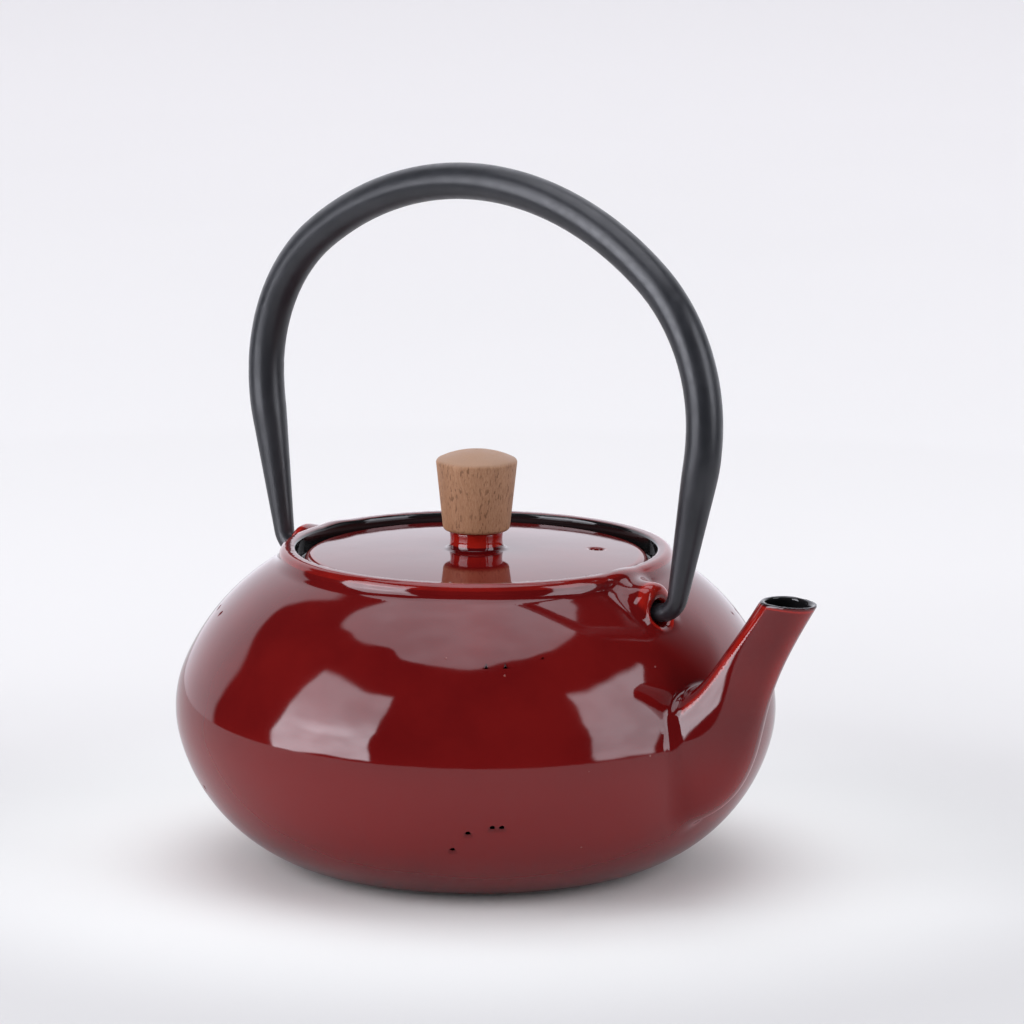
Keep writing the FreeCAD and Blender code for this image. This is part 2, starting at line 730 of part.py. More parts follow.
def bail_route():
    """The centreline's tangent places on one side, from the crown down to the pin's tip."""
    width, shoulder = size("bail_half_width"), size("bail_shoulder")
    shoulder_centre = (width - shoulder, size("bail_shoulder_height"))
    drop = size("bail_crown_height") - shoulder_centre[1]
    crown_bow = (shoulder_centre[0] ** 2 + drop**2 - shoulder**2) / (2 * (drop - shoulder))
    crown_centre = (0.0, size("bail_crown_height") - crown_bow)
    gap = math.dist(shoulder_centre, crown_centre)
    reach = crown_bow / gap
    join = tuple(c + (s - c) * reach for c, s in zip(crown_centre, shoulder_centre))
    tilt, bend = size("bail_leg_tilt"), size("bail_hook_bend")
    leg_centre = (width - size("bail_leg_bow"), shoulder_centre[1])
    leg_start = on_arc(leg_centre, size("bail_leg_bow"), -tilt)
    hook_high = size("bail_pivot_height") + bend * (1 - math.sin(math.radians(tilt)))
    fall = leg_start[1] - hook_high
    ankle = (leg_start[0] - fall * math.tan(math.radians(tilt)), hook_high)
    hook_centre = on_arc(ankle, bend, 180 - tilt)
    hook_end = (hook_centre[0], size("bail_pivot_height"))
    return {
        "crown_centre": crown_centre,
        "crown": (0.0, size("bail_crown_height")),
        "join": join,
        "shoulder_centre": shoulder_centre,
        "side": (width, shoulder_centre[1]),
        "leg_centre": leg_centre,
        "leg_start": leg_start,
        "ankle": ankle,
        "hook_centre": hook_centre,
        "hook_end": hook_end,
        "pin_tip": (size("ear_bore_floor") + size("bail_pin_gap"), size("bail_pivot_height")),
    }


def arc_edge(centre, start, end):
    """A short arc in the XZ plane from start to end, both given as (x, z)."""
    radius = math.dist(centre, start)
    middle = [(a + b) / 2 - c for a, b, c in zip(start, end, centre)]
    scale = radius / math.hypot(*middle)
    mid = tuple(c + m * scale for c, m in zip(centre, middle))
    return Part.Arc(*(Vector(x, 0, z) for x, z in (start, mid, end))).toShape()


def ring_wire(place, heading, radius):
    """A circle of the bar's section at (x, z), square to a heading in the XZ plane."""
    return Part.Wire(Part.Circle(Vector(place[0], 0, place[1]), Vector(*heading), radius).toShape())


def bail_half():
    """One half of the bail as a solid: bar swept down the arch, drawn-down leg, hook and pin."""
    route = bail_route()
    bar, ankle, hook = size("bail_radius"), size("bail_ankle_radius"), size("bail_hook_radius")
    tilt = math.radians(size("bail_leg_tilt"))
    arch = Part.Wire([
        arc_edge(route["crown_centre"], route["crown"], route["join"]),
        arc_edge(route["shoulder_centre"], route["join"], route["side"]),
        arc_edge(route["leg_centre"], route["side"], route["leg_start"]),
    ])
    upper = arch.makePipeShell([ring_wire(route["crown"], (1, 0, 0), bar)], True, True)
    down = (-math.sin(tilt), 0, -math.cos(tilt))
    leg_rings = [ring_wire(route["leg_start"], down, bar), ring_wire(route["ankle"], down, ankle)]
    leg = Part.makeLoft(leg_rings, True)
    bend = Part.Wire([arc_edge(route["hook_centre"], route["ankle"], route["hook_end"])])
    bend_rings = [ring_wire(route["ankle"], down, ankle), ring_wire(route["hook_end"], (-1, 0, 0), hook)]
    curl = bend.makePipeShell(bend_rings, True, True)
    end, tip = (Vector(x, 0, z) for x, z in (route["hook_end"], route["pin_tip"]))
    pin = Part.makeCylinder(hook, (tip - end).Length, end, tip - end)
    return upper.fuse([leg, curl, pin])


def bail_handle():
    """The whole bail, leaning slightly about its pivot as it stands."""
    half = bail_half()
    whole = half.fuse(half.mirror(Vector(), Vector(1, 0, 0))).removeSplitter()
    bail = doc.addObject("Part::Feature", "bail_handle")
    bail.Label = "bail_handle"
    bail.Shape = whole
    pivot = Vector(0, 0, size("bail_pivot_height"))
    bail.Placement = Placement(Vector(), Rotation(Vector(1, 0, 0), -size("bail_lean")), pivot)
    return bail


# ---------------------------------------------------------------- infuser


def turned_ring(name, corners):
    """A PartDesign body turned from a closed outline of straight edges tied to the sheet.

    Each corner is (across, up) as expressions.
    """
    body = new_body(name)
    sketch = new_sketch(f"{name}_outline", body)
    outline = Outline(sketch)
    places = [tuple(evaluate(text) for text in corner) for corner in corners]
    edges = [outline.line(a, b) for a, b in zip(places, places[1:] + places[:1])]
    outline.close()
    for edge, (across, up) in zip(edges, corners):
        outline.place(edge, 1, across, up)
    turn_about_axis(body, sketch, f"{name}_turned")
    return body


def evaluate(text):
    """The present value of an expression in the sheet's names."""
    return float(sheet.evalExpression(cell(text).replace("Sizes.", "")))


def infuser_rim():
    """The flange that hangs on the ledge and the short collar below it."""
    top = "lid_seat"
    inner = "infuser_radius - infuser_sheet"
    return turned_ring("infuser_rim", [
        (inner, "ledge_height - infuser_collar_depth"),
        ("infuser_radius", "ledge_height - infuser_collar_depth"),
        ("infuser_radius", "ledge_height"),
        ("infuser_flange_radius", "ledge_height"),
        ("infuser_flange_radius", top),
        (inner, top),
    ])


def infuser_wall():
    """The drum between rim and pan, lapped inside both, with rows of upright slots through it."""
    outer = "infuser_radius - infuser_sheet - infuser_play"
    inner = "infuser_radius - 2 * infuser_sheet - infuser_play"
    low = "infuser_floor_height + infuser_sheet + infuser_play"
    high = "ledge_height - infuser_lap"
    drum = turned_ring("drum", [(inner, low), (outer, low), (outer, high), (inner, high)])
    first = ("0.5 * (infuser_floor_height + infuser_pan_depth + ledge_height - infuser_collar_depth"
             " - slot_height - (slot_rows - 1) * slot_pitch_height)")
    cutters = []
    for row in range(int(size("slot_rows"))):
        for step in range(int(size("slot_pairs"))):
            turn = Rotation(Vector(0, 0, 1), 180 * step / size("slot_pairs"))
            bar = doc.addObject("Part::Box", "slot_cutter")
            corner = turn.multVec(Vector(-size("infuser_radius"), -size("slot_width") / 2, 0))
            bar.Placement = Placement(corner, turn)
            bind(
                bar,
                Length="2 * infuser_radius",
                Width="slot_width",
                Height="slot_height",
                Placement__Base__z=f"{first} + {row} * slot_pitch_height",
            )
            cutters.append(bar)
    wall = cut("infuser_wall", drum, group("slots", "Compound", cutters))
    wall.Label = "infuser_wall"
    return wall


def infuser_base():
    """The shallow pan that closes the drum, with rings of holes through its floor."""
    outer = "infuser_radius"
    inner = "infuser_radius - infuser_sheet"
    low = "infuser_floor_height"
    body = turned_ring("infuser_base", [
        ("0", low),
        (outer, low),
        (outer, f"{low} + infuser_pan_depth"),
        (inner, f"{low} + infuser_pan_depth"),
        (inner, f"{low} + infuser_sheet"),
        ("0", f"{low} + infuser_sheet"),
    ])
    sketch = new_sketch("floor_holes_outline", body, "XY_Plane")
    hole = size("floor_hole_radius")
    for ring in range(1, int(size("floor_rings")) + 1):
        reach = ring * size("floor_ring_pitch")
        count = FIRST_RING_HOLES * ring
        for step in range(count):
            turn = 2 * math.pi * step / count
            centre = Vector(reach * math.cos(turn), reach * math.sin(turn), 0)
            sketch.addGeometry(Part.Circle(centre, Vector(0, 0, 1), hole))
    pocket = body.newObject("PartDesign::Pocket", "floor_holes")
    pocket.Profile = sketch
    pocket.Type = "ThroughAll"
    pocket.Reversed = True
    return body


# ---------------------------------------------------------------- build and export


def check(pieces):
    """Stops on any failed object or invalid shape."""
    for thing in doc.Objects:
        if "Invalid" in thing.State or "Error" in thing.State:
            raise RuntimeError(f"{thing.Name} failed: {thing.State}")
    for piece in pieces:
        if piece.Shape.isNull() or not piece.Shape.isValid():
            raise RuntimeError(f"{piece.Label} has no valid shape")


def export(pieces):
    """Writes each piece to parts/ under its label."""
    os.makedirs("parts", exist_ok=True)
    for piece in pieces:
        piece.Shape.exportStep(f"parts/{piece.Label}.step")
        box = piece.Shape.BoundBox
        sides = ((box.XMin, box.XMax), (box.YMin, box.YMax), (box.ZMin, box.ZMax))
        spans = " by ".join(f"{low:.1f} to {high:.1f}" for low, high in sides)
        print(f"{piece.Label}: {len(piece.Shape.Solids)} solid, {piece.Shape.Volume:.1f} mm3, {spans}")


fill_sheet()
pieces = [
    kettle_body(),
    lid(),
    lid_knob(),
    knob_screw(),
    knob_washer(),
    bail_handle(),
    infuser_rim(),
    infuser_wall(),
    infuser_base(),
]
doc.recompute()
check(pieces)
export(pieces)
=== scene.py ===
import math

import bpy
import numpy as np
from mathutils import Matrix, Vector


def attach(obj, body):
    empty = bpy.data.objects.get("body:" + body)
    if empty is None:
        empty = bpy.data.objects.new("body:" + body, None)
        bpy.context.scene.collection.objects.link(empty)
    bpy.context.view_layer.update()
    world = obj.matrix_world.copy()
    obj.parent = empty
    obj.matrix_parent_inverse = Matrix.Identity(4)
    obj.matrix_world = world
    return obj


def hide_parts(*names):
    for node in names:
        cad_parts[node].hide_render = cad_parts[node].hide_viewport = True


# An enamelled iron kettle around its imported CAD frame. Lengths are millimetres until a mesh is made.
# Frame: +Z up, origin on the table at the body's axis, +X towards the spout.

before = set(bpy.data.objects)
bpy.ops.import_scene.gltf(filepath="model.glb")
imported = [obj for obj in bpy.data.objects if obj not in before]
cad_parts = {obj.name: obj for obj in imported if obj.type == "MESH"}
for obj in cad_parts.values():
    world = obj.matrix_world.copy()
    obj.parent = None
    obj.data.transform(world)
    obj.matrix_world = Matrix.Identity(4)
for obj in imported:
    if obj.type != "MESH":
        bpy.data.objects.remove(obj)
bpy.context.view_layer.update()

MM = 0.001

# Body
BELLY_RADIUS, BELLY_HEIGHT, BELLY_BOW = 82.5, 42.8, 29.7
SHOULDER_BOW, SHOULDER_TURN = 59.0, math.radians(22.6)
UNDER_BOW, UNDER_TURN = 48.5, math.radians(13.4)
WALL = 3.0
COLLAR_RADIUS, COLLAR_TOP, COLLAR_LOW, COLLAR_ROUND = 54.0, 87.1, 70.0, 2.2
COLLAR_BORE, COLLAR_BLACK, COLLAR_BLACK_FROM = 49.5, 49.9, 75.0
LEDGE_TOP, LEDGE_LOW, MOUTH_RADIUS = 81.5, 78.5, 44.5
# Spout: reach, height, slope in degrees, half depth and half width of each section, how far up the
# half depth its widest line lies, and the exponent that draws the section to a ridge along that line
SPOUT = (
    (62.0, 39.0, 12.0, 22.0, 14.9, 0.18, 2.0),
    (80.0, 43.8, 36.0, 16.6, 14.9, 0.44, 1.70),
    (90.3, 55.5, 58.0, 10.2, 10.4, 0.46, 1.68),
    (96.6, 66.5, 60.0, 8.0, 7.9, 0.42, 1.72),
    (102.6, 76.0, 57.0, 7.1, 7.0, 0.34, 1.80),
    (111.2, 89.2, 56.5, 6.9, 6.7, 0.16, 2.0),
)
# The wall is thin near the mouth only, and thickens from THIN_UNTIL to THICK_FROM behind it.
SPOUT_WALL, SPOUT_ROOT_WALL, THIN_UNTIL, THICK_FROM = 1.4, 3.2, 14.0, 20.0
PASSAGE_START = 63.0
SPOUT_LIP = (109.3, 86.3)
SPOUT_LIP_DROP = math.radians(2.3)
LIP_FROM, LIP_BLACK = 95.0, 0.8
# The spout's distance is worked out beyond SPOUT_FROM and within SPOUT_ASIDE of the middle. Elsewhere it is FAR.
SPOUT_FROM, SPOUT_ASIDE, FAR = 45.0, 28.0, 30.0
# A point's place along the spout is first read along the heading (GUESS_X, GUESS_Z), then closed in on.
GUESS_X, GUESS_Z = 0.5, 0.87
CLOSE_IN_ROUNDS, CLOSE_IN_SHARE, CLOSE_IN_STRIDE = 5, 0.8, 8.0
# Ears
EAR_REACH, EAR_HEIGHT = 65.0, 79.3
EAR_ROOT, EAR_ROOT_WIDE, EAR_ROOT_DEEP, EAR_ROUND = 49.9, 8.0, 6.2, 5.9
EAR_BORE, EAR_BORE_FLOOR, PIVOT_HEIGHT = 3.4, 60.3, 77.4
BORE_OVERRUN = 3.0
PAD_RADIUS, PAD_FLOOR = 6.2, 57.3
# Fillets between the casting's forms, and the roundings of its edges
COLLAR_FILLET, EAR_FILLET, SPOUT_FILLET, PASSAGE_FILLET, PAD_FILLET = 2.0, 4.0, 2.6, 3.0, 1.5
FOOT_ROUND, EAR_END_ROUND, LIP_ROUND, BORE_ROUND, RIM_ROUND = 2.4, 3.2, 0.6, 1.6, 1.1
CAVITY_FLOOR_ROUND, CAVITY_ROOF_ROUND, LEDGE_ROUND, MOUTH_OVERRUN = 4.0, 2.0, 0.8, 4.0
# Lid
LID_RADIUS, LID_SEAT, LID_EDGE, LID_CROWN, LID_WEB = 47.3, 82.4, 85.0, 86.5, 83.9
SKIRT_OUT, SKIRT_IN, SKIRT_LOW = 40.4, 38.0, 77.4
NECK_RADIUS, NECK_TOP, NECK_FLARE = 7.5, 91.7, 1.0
SCREW_HOLE = 2.08
VENT_RADIUS, VENT_REACH, VENT_ANGLE = 1.7, 33.1, math.radians(45.6)
DOME_INSET, LID_RIM_ROUND, LID_FOOT_ROUND, NECK_FILLET, NECK_TOP_ROUND = 1.2, 2.6, 1.0, 1.3, 1.0
SKIRT_ROUND, SKIRT_END_ROUND, SKIRT_FILLET, OVERLAP = 0.8, 1.4, 1.0, 1.0
WAIST_DEPTH, WAIST_HEIGHT, WAIST_REACH = 0.35, 89.3, 2.4
SCREW_HOLE_ROUND, VENT_ROUND = 0.3, 1.2
# Knob
KNOB_FOOT, KNOB_FOOT_ROUND, KNOB_TOP, KNOB_EDGE, KNOB_CROWN = 9.1, 1.2, 11.2, 111.2, 113.9
KNOB_EDGE_ROUND, KNOB_BORE_END = 1.1, 103.58
AXIS_GAP = 0.02
# Bail
BAIL_RADIUS, ANKLE_RADIUS, HOOK_RADIUS = 5.0, 2.8, 2.5
BAIL_HALF_WIDTH, BAIL_SHOULDER, BAIL_SHOULDER_HEIGHT = 78.77, 49.3, 128.2
BAIL_CROWN, LEG_BOW, LEG_TILT = 187.4, 61.5, math.radians(10.9)
HOOK_BEND, PIN_TIP = 6.2, 60.9
BAIL_LEAN = math.radians(1.4)
# The bail's taper is averaged over TAPER_BLEND to either side, except on its last PIN_LENGTH.
TAPER_BLEND, PIN_LENGTH = 3.0, 8.0
# How far each ring of a pin's end lies from its tip, and the ring's share of the pin's radius
PIN_END = ((0.6, 1.0), (0.25, 0.96), (0.05, 0.86), (0.0, 0.6))


# ---------------------------------------------------------------- distance fields


def smooth_union(a, b, blend):
    """The nearer of two distances, filleted over blend where they meet."""
    near = np.maximum(blend - np.abs(a - b), 0.0) / blend
    return np.minimum(a, b) - near * near * blend / 4


def smooth_cut(a, b, blend):
    """What is left of a when b is taken away, with its edges rounded over blend."""
    return -smooth_union(-a, b, blend)


def smooth_common(a, b, blend):
    """The part inside both, with its edges rounded over blend."""
    return -smooth_union(-a, -b, blend)


def belly(r, z):
    """Distance to the turned form's three tangent arcs."""
    cx, cz = BELLY_RADIUS - BELLY_BOW, BELLY_HEIGHT
    sx = cx - (SHOULDER_BOW - BELLY_BOW) * math.cos(SHOULDER_TURN)
    sz = cz - (SHOULDER_BOW - BELLY_BOW) * math.sin(SHOULDER_TURN)
    ux = cx - (UNDER_BOW - BELLY_BOW) * math.cos(UNDER_TURN)
    uz = cz + (UNDER_BOW - BELLY_BOW) * math.sin(UNDER_TURN)
    above = (z - cz) * math.cos(SHOULDER_TURN) > (r - cx) * math.sin(SHOULDER_TURN)
    below = (z - cz) * math.cos(UNDER_TURN) < -(r - cx) * math.sin(UNDER_TURN)
    high = z > cz
    shoulder = np.hypot(r - sx, z - sz) - SHOULDER_BOW
    under = np.hypot(r - ux, z - uz) - UNDER_BOW
    middle = np.hypot(r - cx, z - cz) - BELLY_BOW
    return np.where(above & high, shoulder, np.where(below & ~high, under, middle))


def spline(values):
    """Second derivatives of the natural cubic through evenly numbered values."""
    count = len(values)
    system = np.eye(count)
    right = np.zeros(count)
    for i in range(1, count - 1):
        h0, h1 = KNOTS[i] - KNOTS[i - 1], KNOTS[i + 1] - KNOTS[i]
        system[i, i - 1: i + 2] = h0, 2 * (h0 + h1), h1
        right[i] = 6 * ((values[i + 1] - values[i]) / h1 - (values[i] - values[i - 1]) / h0)
    return np.linalg.solve(system, right)


STATION = np.array(SPOUT)
KNOTS = np.concatenate([[0.0], np.cumsum(np.hypot(*np.diff(STATION[:, :2], axis=0).T))])
BENDS = np.stack([spline(column) for column in STATION.T], axis=1)


def section(t):
    """The seven measures of SPOUT at a distance along the spout."""
    t = np.clip(t, KNOTS[0], KNOTS[-1])
    i = np.clip(np.searchsorted(KNOTS, t) - 1, 0, len(KNOTS) - 2)
    h = KNOTS[i + 1] - KNOTS[i]
    a, b = (KNOTS[i + 1] - t) / h, (t - KNOTS[i]) / h
    a, b, h = a[..., None], b[..., None], h[..., None]
    curve = ((a**3 - a) * BENDS[i] + (b**3 - b) * BENDS[i + 1]) * h * h / 6
    return a * STATION[i] + b * STATION[i + 1] + curve


def spout(x, y, z, passage=False):
    """Distance to the spout's tube, or to the passage inside its wall."""
    t = np.interp(x * GUESS_X + z * GUESS_Z, SAMPLE_ALONG, SAMPLE_T)
    for _ in range(CLOSE_IN_ROUNDS):
        part = section(t)
        slope = np.radians(part[..., 2])
        ahead = (x - part[..., 0]) * np.cos(slope) + (z - part[..., 1]) * np.sin(slope)
        stride = CLOSE_IN_SHARE * np.clip(ahead, -CLOSE_IN_STRIDE, CLOSE_IN_STRIDE)
        t = np.clip(t + stride, KNOTS[0], KNOTS[-1])
    part = section(t)
    slope = np.radians(part[..., 2])
    up = -(x - part[..., 0]) * np.sin(slope) + (z - part[..., 1]) * np.cos(slope)
    inset = 0.0
    if passage:
        back = np.clip((KNOTS[-1] - t - THIN_UNTIL) / (THICK_FROM - THIN_UNTIL), 0, 1)
        inset = SPOUT_WALL + (SPOUT_ROOT_WALL - SPOUT_WALL) * back * back * (3 - 2 * back)
    deep, wide = part[..., 3] - inset, part[..., 4] - inset
    up = up - part[..., 5] * deep
    power = np.where(up > 0, part[..., 6], 2.0)
    deep = np.where(up > 0, deep * (1 - part[..., 5]), deep * (1 + part[..., 5]))
    rise, reach = np.abs(up / deep) + 1e-6, np.abs(y / wide) + 1e-6
    ratio = np.sqrt(rise**power + reach**2)
    steep = np.hypot(0.5 * power * rise ** (power - 1) / deep, reach / wide) / ratio
    return (ratio - 1) / np.maximum(steep, 0.3 / deep)


SAMPLE_T = np.linspace(KNOTS[0], KNOTS[-1], 200)
SAMPLE_ALONG = section(SAMPLE_T)[:, 0] * GUESS_X + section(SAMPLE_T)[:, 1] * GUESS_Z


def near_spout(x, y):
    """Which points lie where the spout can reach."""
    return (x > SPOUT_FROM) & (np.abs(y) < SPOUT_ASIDE)


def lip_plane(x, z):
    """Distance above the spout's mouth."""
    drop = SPOUT_LIP_DROP
    return (x - SPOUT_LIP[0]) * math.sin(drop) + (z - SPOUT_LIP[1]) * math.cos(drop)


def ear(x, y, z):
    """Distance to the boss on either side, a cone that leaves the collar."""
    along = np.clip((np.abs(x) - EAR_ROOT) / (EAR_REACH - EAR_ROOT), 0.0, 1.0)
    wide = EAR_ROOT_WIDE + (EAR_ROUND - EAR_ROOT_WIDE) * along
    deep = EAR_ROOT_DEEP + (EAR_ROUND - EAR_ROOT_DEEP) * along
    ratio = np.sqrt((y / wide) ** 2 + ((z - EAR_HEIGHT) / deep) ** 2) + 1e-9
    steep = np.sqrt((y / wide**2) ** 2 + ((z - EAR_HEIGHT) / deep**2) ** 2) / ratio + 1e-9
    return smooth_common((ratio - 1) / steep, np.abs(x) - EAR_REACH, EAR_END_ROUND)


def bores(x, y, z):
    """Distance to the blind bores in the ears."""
    ends = np.maximum(EAR_BORE_FLOOR - np.abs(x), np.abs(x) - EAR_REACH - BORE_OVERRUN)
    return np.maximum(np.hypot(y, z - PIVOT_HEIGHT) - EAR_BORE, ends)


def outer_form(x, y, z):
    """Distance to the casting before it is hollowed."""
    r = np.hypot(x, y)
    turned = smooth_common(belly(r, z), -z, FOOT_ROUND)
    out, up = r - COLLAR_RADIUS + COLLAR_ROUND, z - COLLAR_TOP + COLLAR_ROUND
    collar = np.hypot(np.maximum(out, 0), np.maximum(up, 0)) - COLLAR_ROUND
    collar = np.maximum(collar + np.minimum(np.maximum(out, up), 0), COLLAR_LOW - z)
    form = smooth_union(turned, collar, COLLAR_FILLET)
    form = smooth_union(form, ear(x, y, z), EAR_FILLET)
    near = near_spout(x, y)
    tube = np.full(x.shape, FAR)
    whole = spout(x[near], y[near], z[near])
    tube[near] = smooth_common(whole, lip_plane(x[near], z[near]), LIP_ROUND)
    return smooth_union(form, tube, SPOUT_FILLET)


def inner_form(x, y, z):
    """Distance to the space inside the casting: cavity, mouth, collar bore and spout passage."""
    r = np.hypot(x, y)
    cavity = smooth_common(belly(r, z) + WALL, WALL - z, CAVITY_FLOOR_ROUND)
    cavity = smooth_common(cavity, z - LEDGE_LOW, CAVITY_ROOF_ROUND)
    pads = np.maximum(np.hypot(y, z - PIVOT_HEIGHT) - PAD_RADIUS, PAD_FLOOR - np.abs(x))
    cavity = smooth_cut(cavity, pads, PAD_FILLET)
    mouth = np.maximum(r - MOUTH_RADIUS, LEDGE_LOW - MOUTH_OVERRUN - z)
    bore = smooth_common(r - COLLAR_BORE, LEDGE_TOP - z, LEDGE_ROUND)
    space = smooth_union(smooth_union(cavity, mouth, LEDGE_ROUND), bore, LEDGE_ROUND)
    near = near_spout(x, y)
    tube = np.full(x.shape, FAR)
    passage = spout(x[near], y[near], z[near], passage=True)
    tube[near] = np.maximum(passage, PASSAGE_START - x[near])
    return smooth_union(space, tube, PASSAGE_FILLET)


def outside(p):
    """Distance to the casting with its ears bored, before it is hollowed."""
    x, y, z = p[..., 0], p[..., 1], p[..., 2]
    return smooth_cut(outer_form(x, y, z), bores(x, y, z), BORE_ROUND)


def kettle(p):
    """Distance to the finished casting."""
    return smooth_cut(outside(p), inner_form(p[..., 0], p[..., 1], p[..., 2]), RIM_ROUND)


def vent_place():
    """Where the steam vent goes through the lid."""
    return VENT_REACH * math.cos(VENT_ANGLE), VENT_REACH * math.sin(VENT_ANGLE)


def lid_shape(p):
    """Distance to the lid: domed plate, skirt and neck, bored for the screw and the vent."""
    x, y, z = p[..., 0], p[..., 1], p[..., 2]
    r = np.hypot(x, y)
    run = LID_RADIUS - DOME_INSET - NECK_RADIUS - NECK_FLARE
    dome = (run**2 + (LID_CROWN - LID_EDGE) ** 2) / (2 * (LID_CROWN - LID_EDGE))
    out = np.maximum(r - NECK_RADIUS - NECK_FLARE, 0)
    top = z - (LID_CROWN - dome + np.sqrt(dome**2 - np.minimum(out, LID_RADIUS) ** 2))
    plate = smooth_common(r - LID_RADIUS, top, LID_RIM_ROUND)
    plate = smooth_common(plate, LID_SEAT - z, LID_FOOT_ROUND)
    skirt = smooth_common(r - SKIRT_OUT, SKIRT_IN - r, SKIRT_ROUND)
    skirt = smooth_common(skirt, SKIRT_LOW - z, SKIRT_END_ROUND)
    skirt = np.maximum(skirt, z - LID_SEAT - OVERLAP)
    plate = smooth_union(plate, skirt, SKIRT_FILLET)
    plate = smooth_cut(plate, np.maximum(r - SKIRT_IN, z - LID_WEB), SKIRT_ROUND)
    waist = WAIST_DEPTH * np.cos(np.clip((z - WAIST_HEIGHT) / WAIST_REACH, -1.2, 1.2) * math.pi / 2)
    neck = smooth_common(r - NECK_RADIUS + waist, z - NECK_TOP, NECK_TOP_ROUND)
    neck = smooth_common(neck, LID_WEB + OVERLAP - z, 0.1)
    body = smooth_union(plate, neck, NECK_FILLET)
    body = smooth_cut(body, r - SCREW_HOLE, SCREW_HOLE_ROUND)
    vent_x, vent_y = vent_place()
    return smooth_cut(body, np.hypot(x - vent_x, y - vent_y) - VENT_RADIUS, VENT_ROUND)


# ---------------------------------------------------------------- surfaces from distance fields

EVEN_OUT_ROUNDS, EVEN_OUT_SHARE = 2, 0.6
SETTLE_ROUNDS, SETTLE_STRIDE, SLOPE_FLOOR = 3, 0.5, 0.2


def graded(low, high, step, fine=()):
    """Grid places from low to high at a step, closer where fine gives (from, to, step)."""
    places = [low]
    while places[-1] < high:
        here = places[-1]
        width = step
        for start, end, small in fine:
            if start - step * 0.5 <= here < end:
                width = small
            elif here < start < here + step * 0.5:
                width = small
        places.append(here + width)
    return np.array(places)


def gradient(field, p, reach=0.01):
    """A field's slope at points, by central differences."""
    slopes = []
    for axis in range(3):
        step = np.zeros(3)
        step[axis] = reach
        slopes.append((field(p + step) - field(p - step)) / (2 * reach))
    return np.stack(slopes, axis=1)


def surface(field, xs, ys, zs):
    """A closed quad mesh on a field's zero surface: its points, quads and unit normals.

    A grid cell that the surface passes through holds one point, at the mean of its edges' crossings, and
    a grid edge that the surface crosses joins the four cells round it. The points are then evened out.
    """
    grid = np.stack(np.meshgrid(xs, ys, zs, indexing="ij"), axis=-1)
    value = np.empty(grid.shape[:3])
    for i in range(len(xs)):
        value[i] = field(grid[i])
    inside = value < 0
    corners = [(i, j, k) for i in (0, 1) for j in (0, 1) for k in (0, 1)]
    shape = tuple(n - 1 for n in inside.shape)
    count = sum(
        inside[i: i + shape[0], j: j + shape[1], k: k + shape[2]].astype(np.int8) for i, j, k in corners
    )
    cells = np.argwhere((count > 0) & (count < 8))
    number = np.full(shape, -1, np.int64)
    number[tuple(cells.T)] = np.arange(len(cells))
    total, crossings = np.zeros((len(cells), 3)), np.zeros(len(cells))
    for a in corners:
        for axis in range(3):
            if a[axis]:
                continue
            b = tuple(1 if n == axis else a[n] for n in range(3))
            at, to = tuple((cells + a).T), tuple((cells + b).T)
            va, vb = value[at], value[to]
            crossed = (va < 0) != (vb < 0)
            share = np.where(crossed, va / np.where(crossed, va - vb, 1.0), 0.0)[:, None]
            total += np.where(crossed[:, None], grid[at] * (1 - share) + grid[to] * share, 0.0)
            crossings += crossed
    points = total / crossings[:, None]
    quads = []
    for axis in range(3):
        a, b = (axis + 1) % 3, (axis + 2) % 3
        low = [slice(None)] * 3
        high = [slice(None)] * 3
        low[axis], high[axis] = slice(0, -1), slice(1, None)
        first, second = inside[tuple(low)], inside[tuple(high)]
        edges = np.argwhere(first != second)
        edges = edges[(edges[:, a] > 0) & (edges[:, b] > 0)]
        edges = edges[(edges[:, a] < shape[a]) & (edges[:, b] < shape[b])]
        ring = []
        for da, db in ((1, 1), (0, 1), (0, 0), (1, 0)):
            cell = edges.copy()
            cell[:, a] -= da
            cell[:, b] -= db
            ring.append(number[tuple(cell.T)])
        quad = np.stack(ring, axis=1)
        out = first[tuple(edges.T)]
        quads.append(np.where(out[:, None], quad, quad[:, ::-1]))
    quads = np.concatenate(quads)
    pairs = np.concatenate([quads[:, [n, (n + 1) % 4]] for n in range(4)])
    pairs = np.concatenate([pairs, pairs[:, ::-1]])
    degree = np.bincount(pairs[:, 0], minlength=len(points))[:, None]
    points = settle(field, points)
    for _ in range(EVEN_OUT_ROUNDS):
        sums = [np.bincount(pairs[:, 0], points[pairs[:, 1], n], len(points)) for n in range(3)]
        mean = np.stack(sums, axis=1) / degree
        points = settle(field, points * (1 - EVEN_OUT_SHARE) + EVEN_OUT_SHARE * mean)
    slope = gradient(field, points)
    return points, quads, slope / np.linalg.norm(slope, axis=1)[:, None]


def settle(field, points):
    """Moves points onto a field's zero surface."""
    for _ in range(SETTLE_ROUNDS):
        slope = gradient(field, points)
        reach = field(points) / np.maximum((slope**2).sum(axis=1), SLOPE_FLOOR)
        points = points - np.clip(reach, -SETTLE_STRIDE, SETTLE_STRIDE)[:, None] * slope
    return points


def bend_at(field, points, reach=0.8):
    """Mean convexity at points, from the field's Laplacian: 1/mm, positive on outer edges."""
    centre = field(points)
    total = np.zeros(len(points))
    for axis in range(3):
        step = np.zeros(3)
        step[axis] = reach
        total += field(points + step) + field(points - step) - 2 * centre
    return total / (2 * reach * reach)


# ---------------------------------------------------------------- meshes


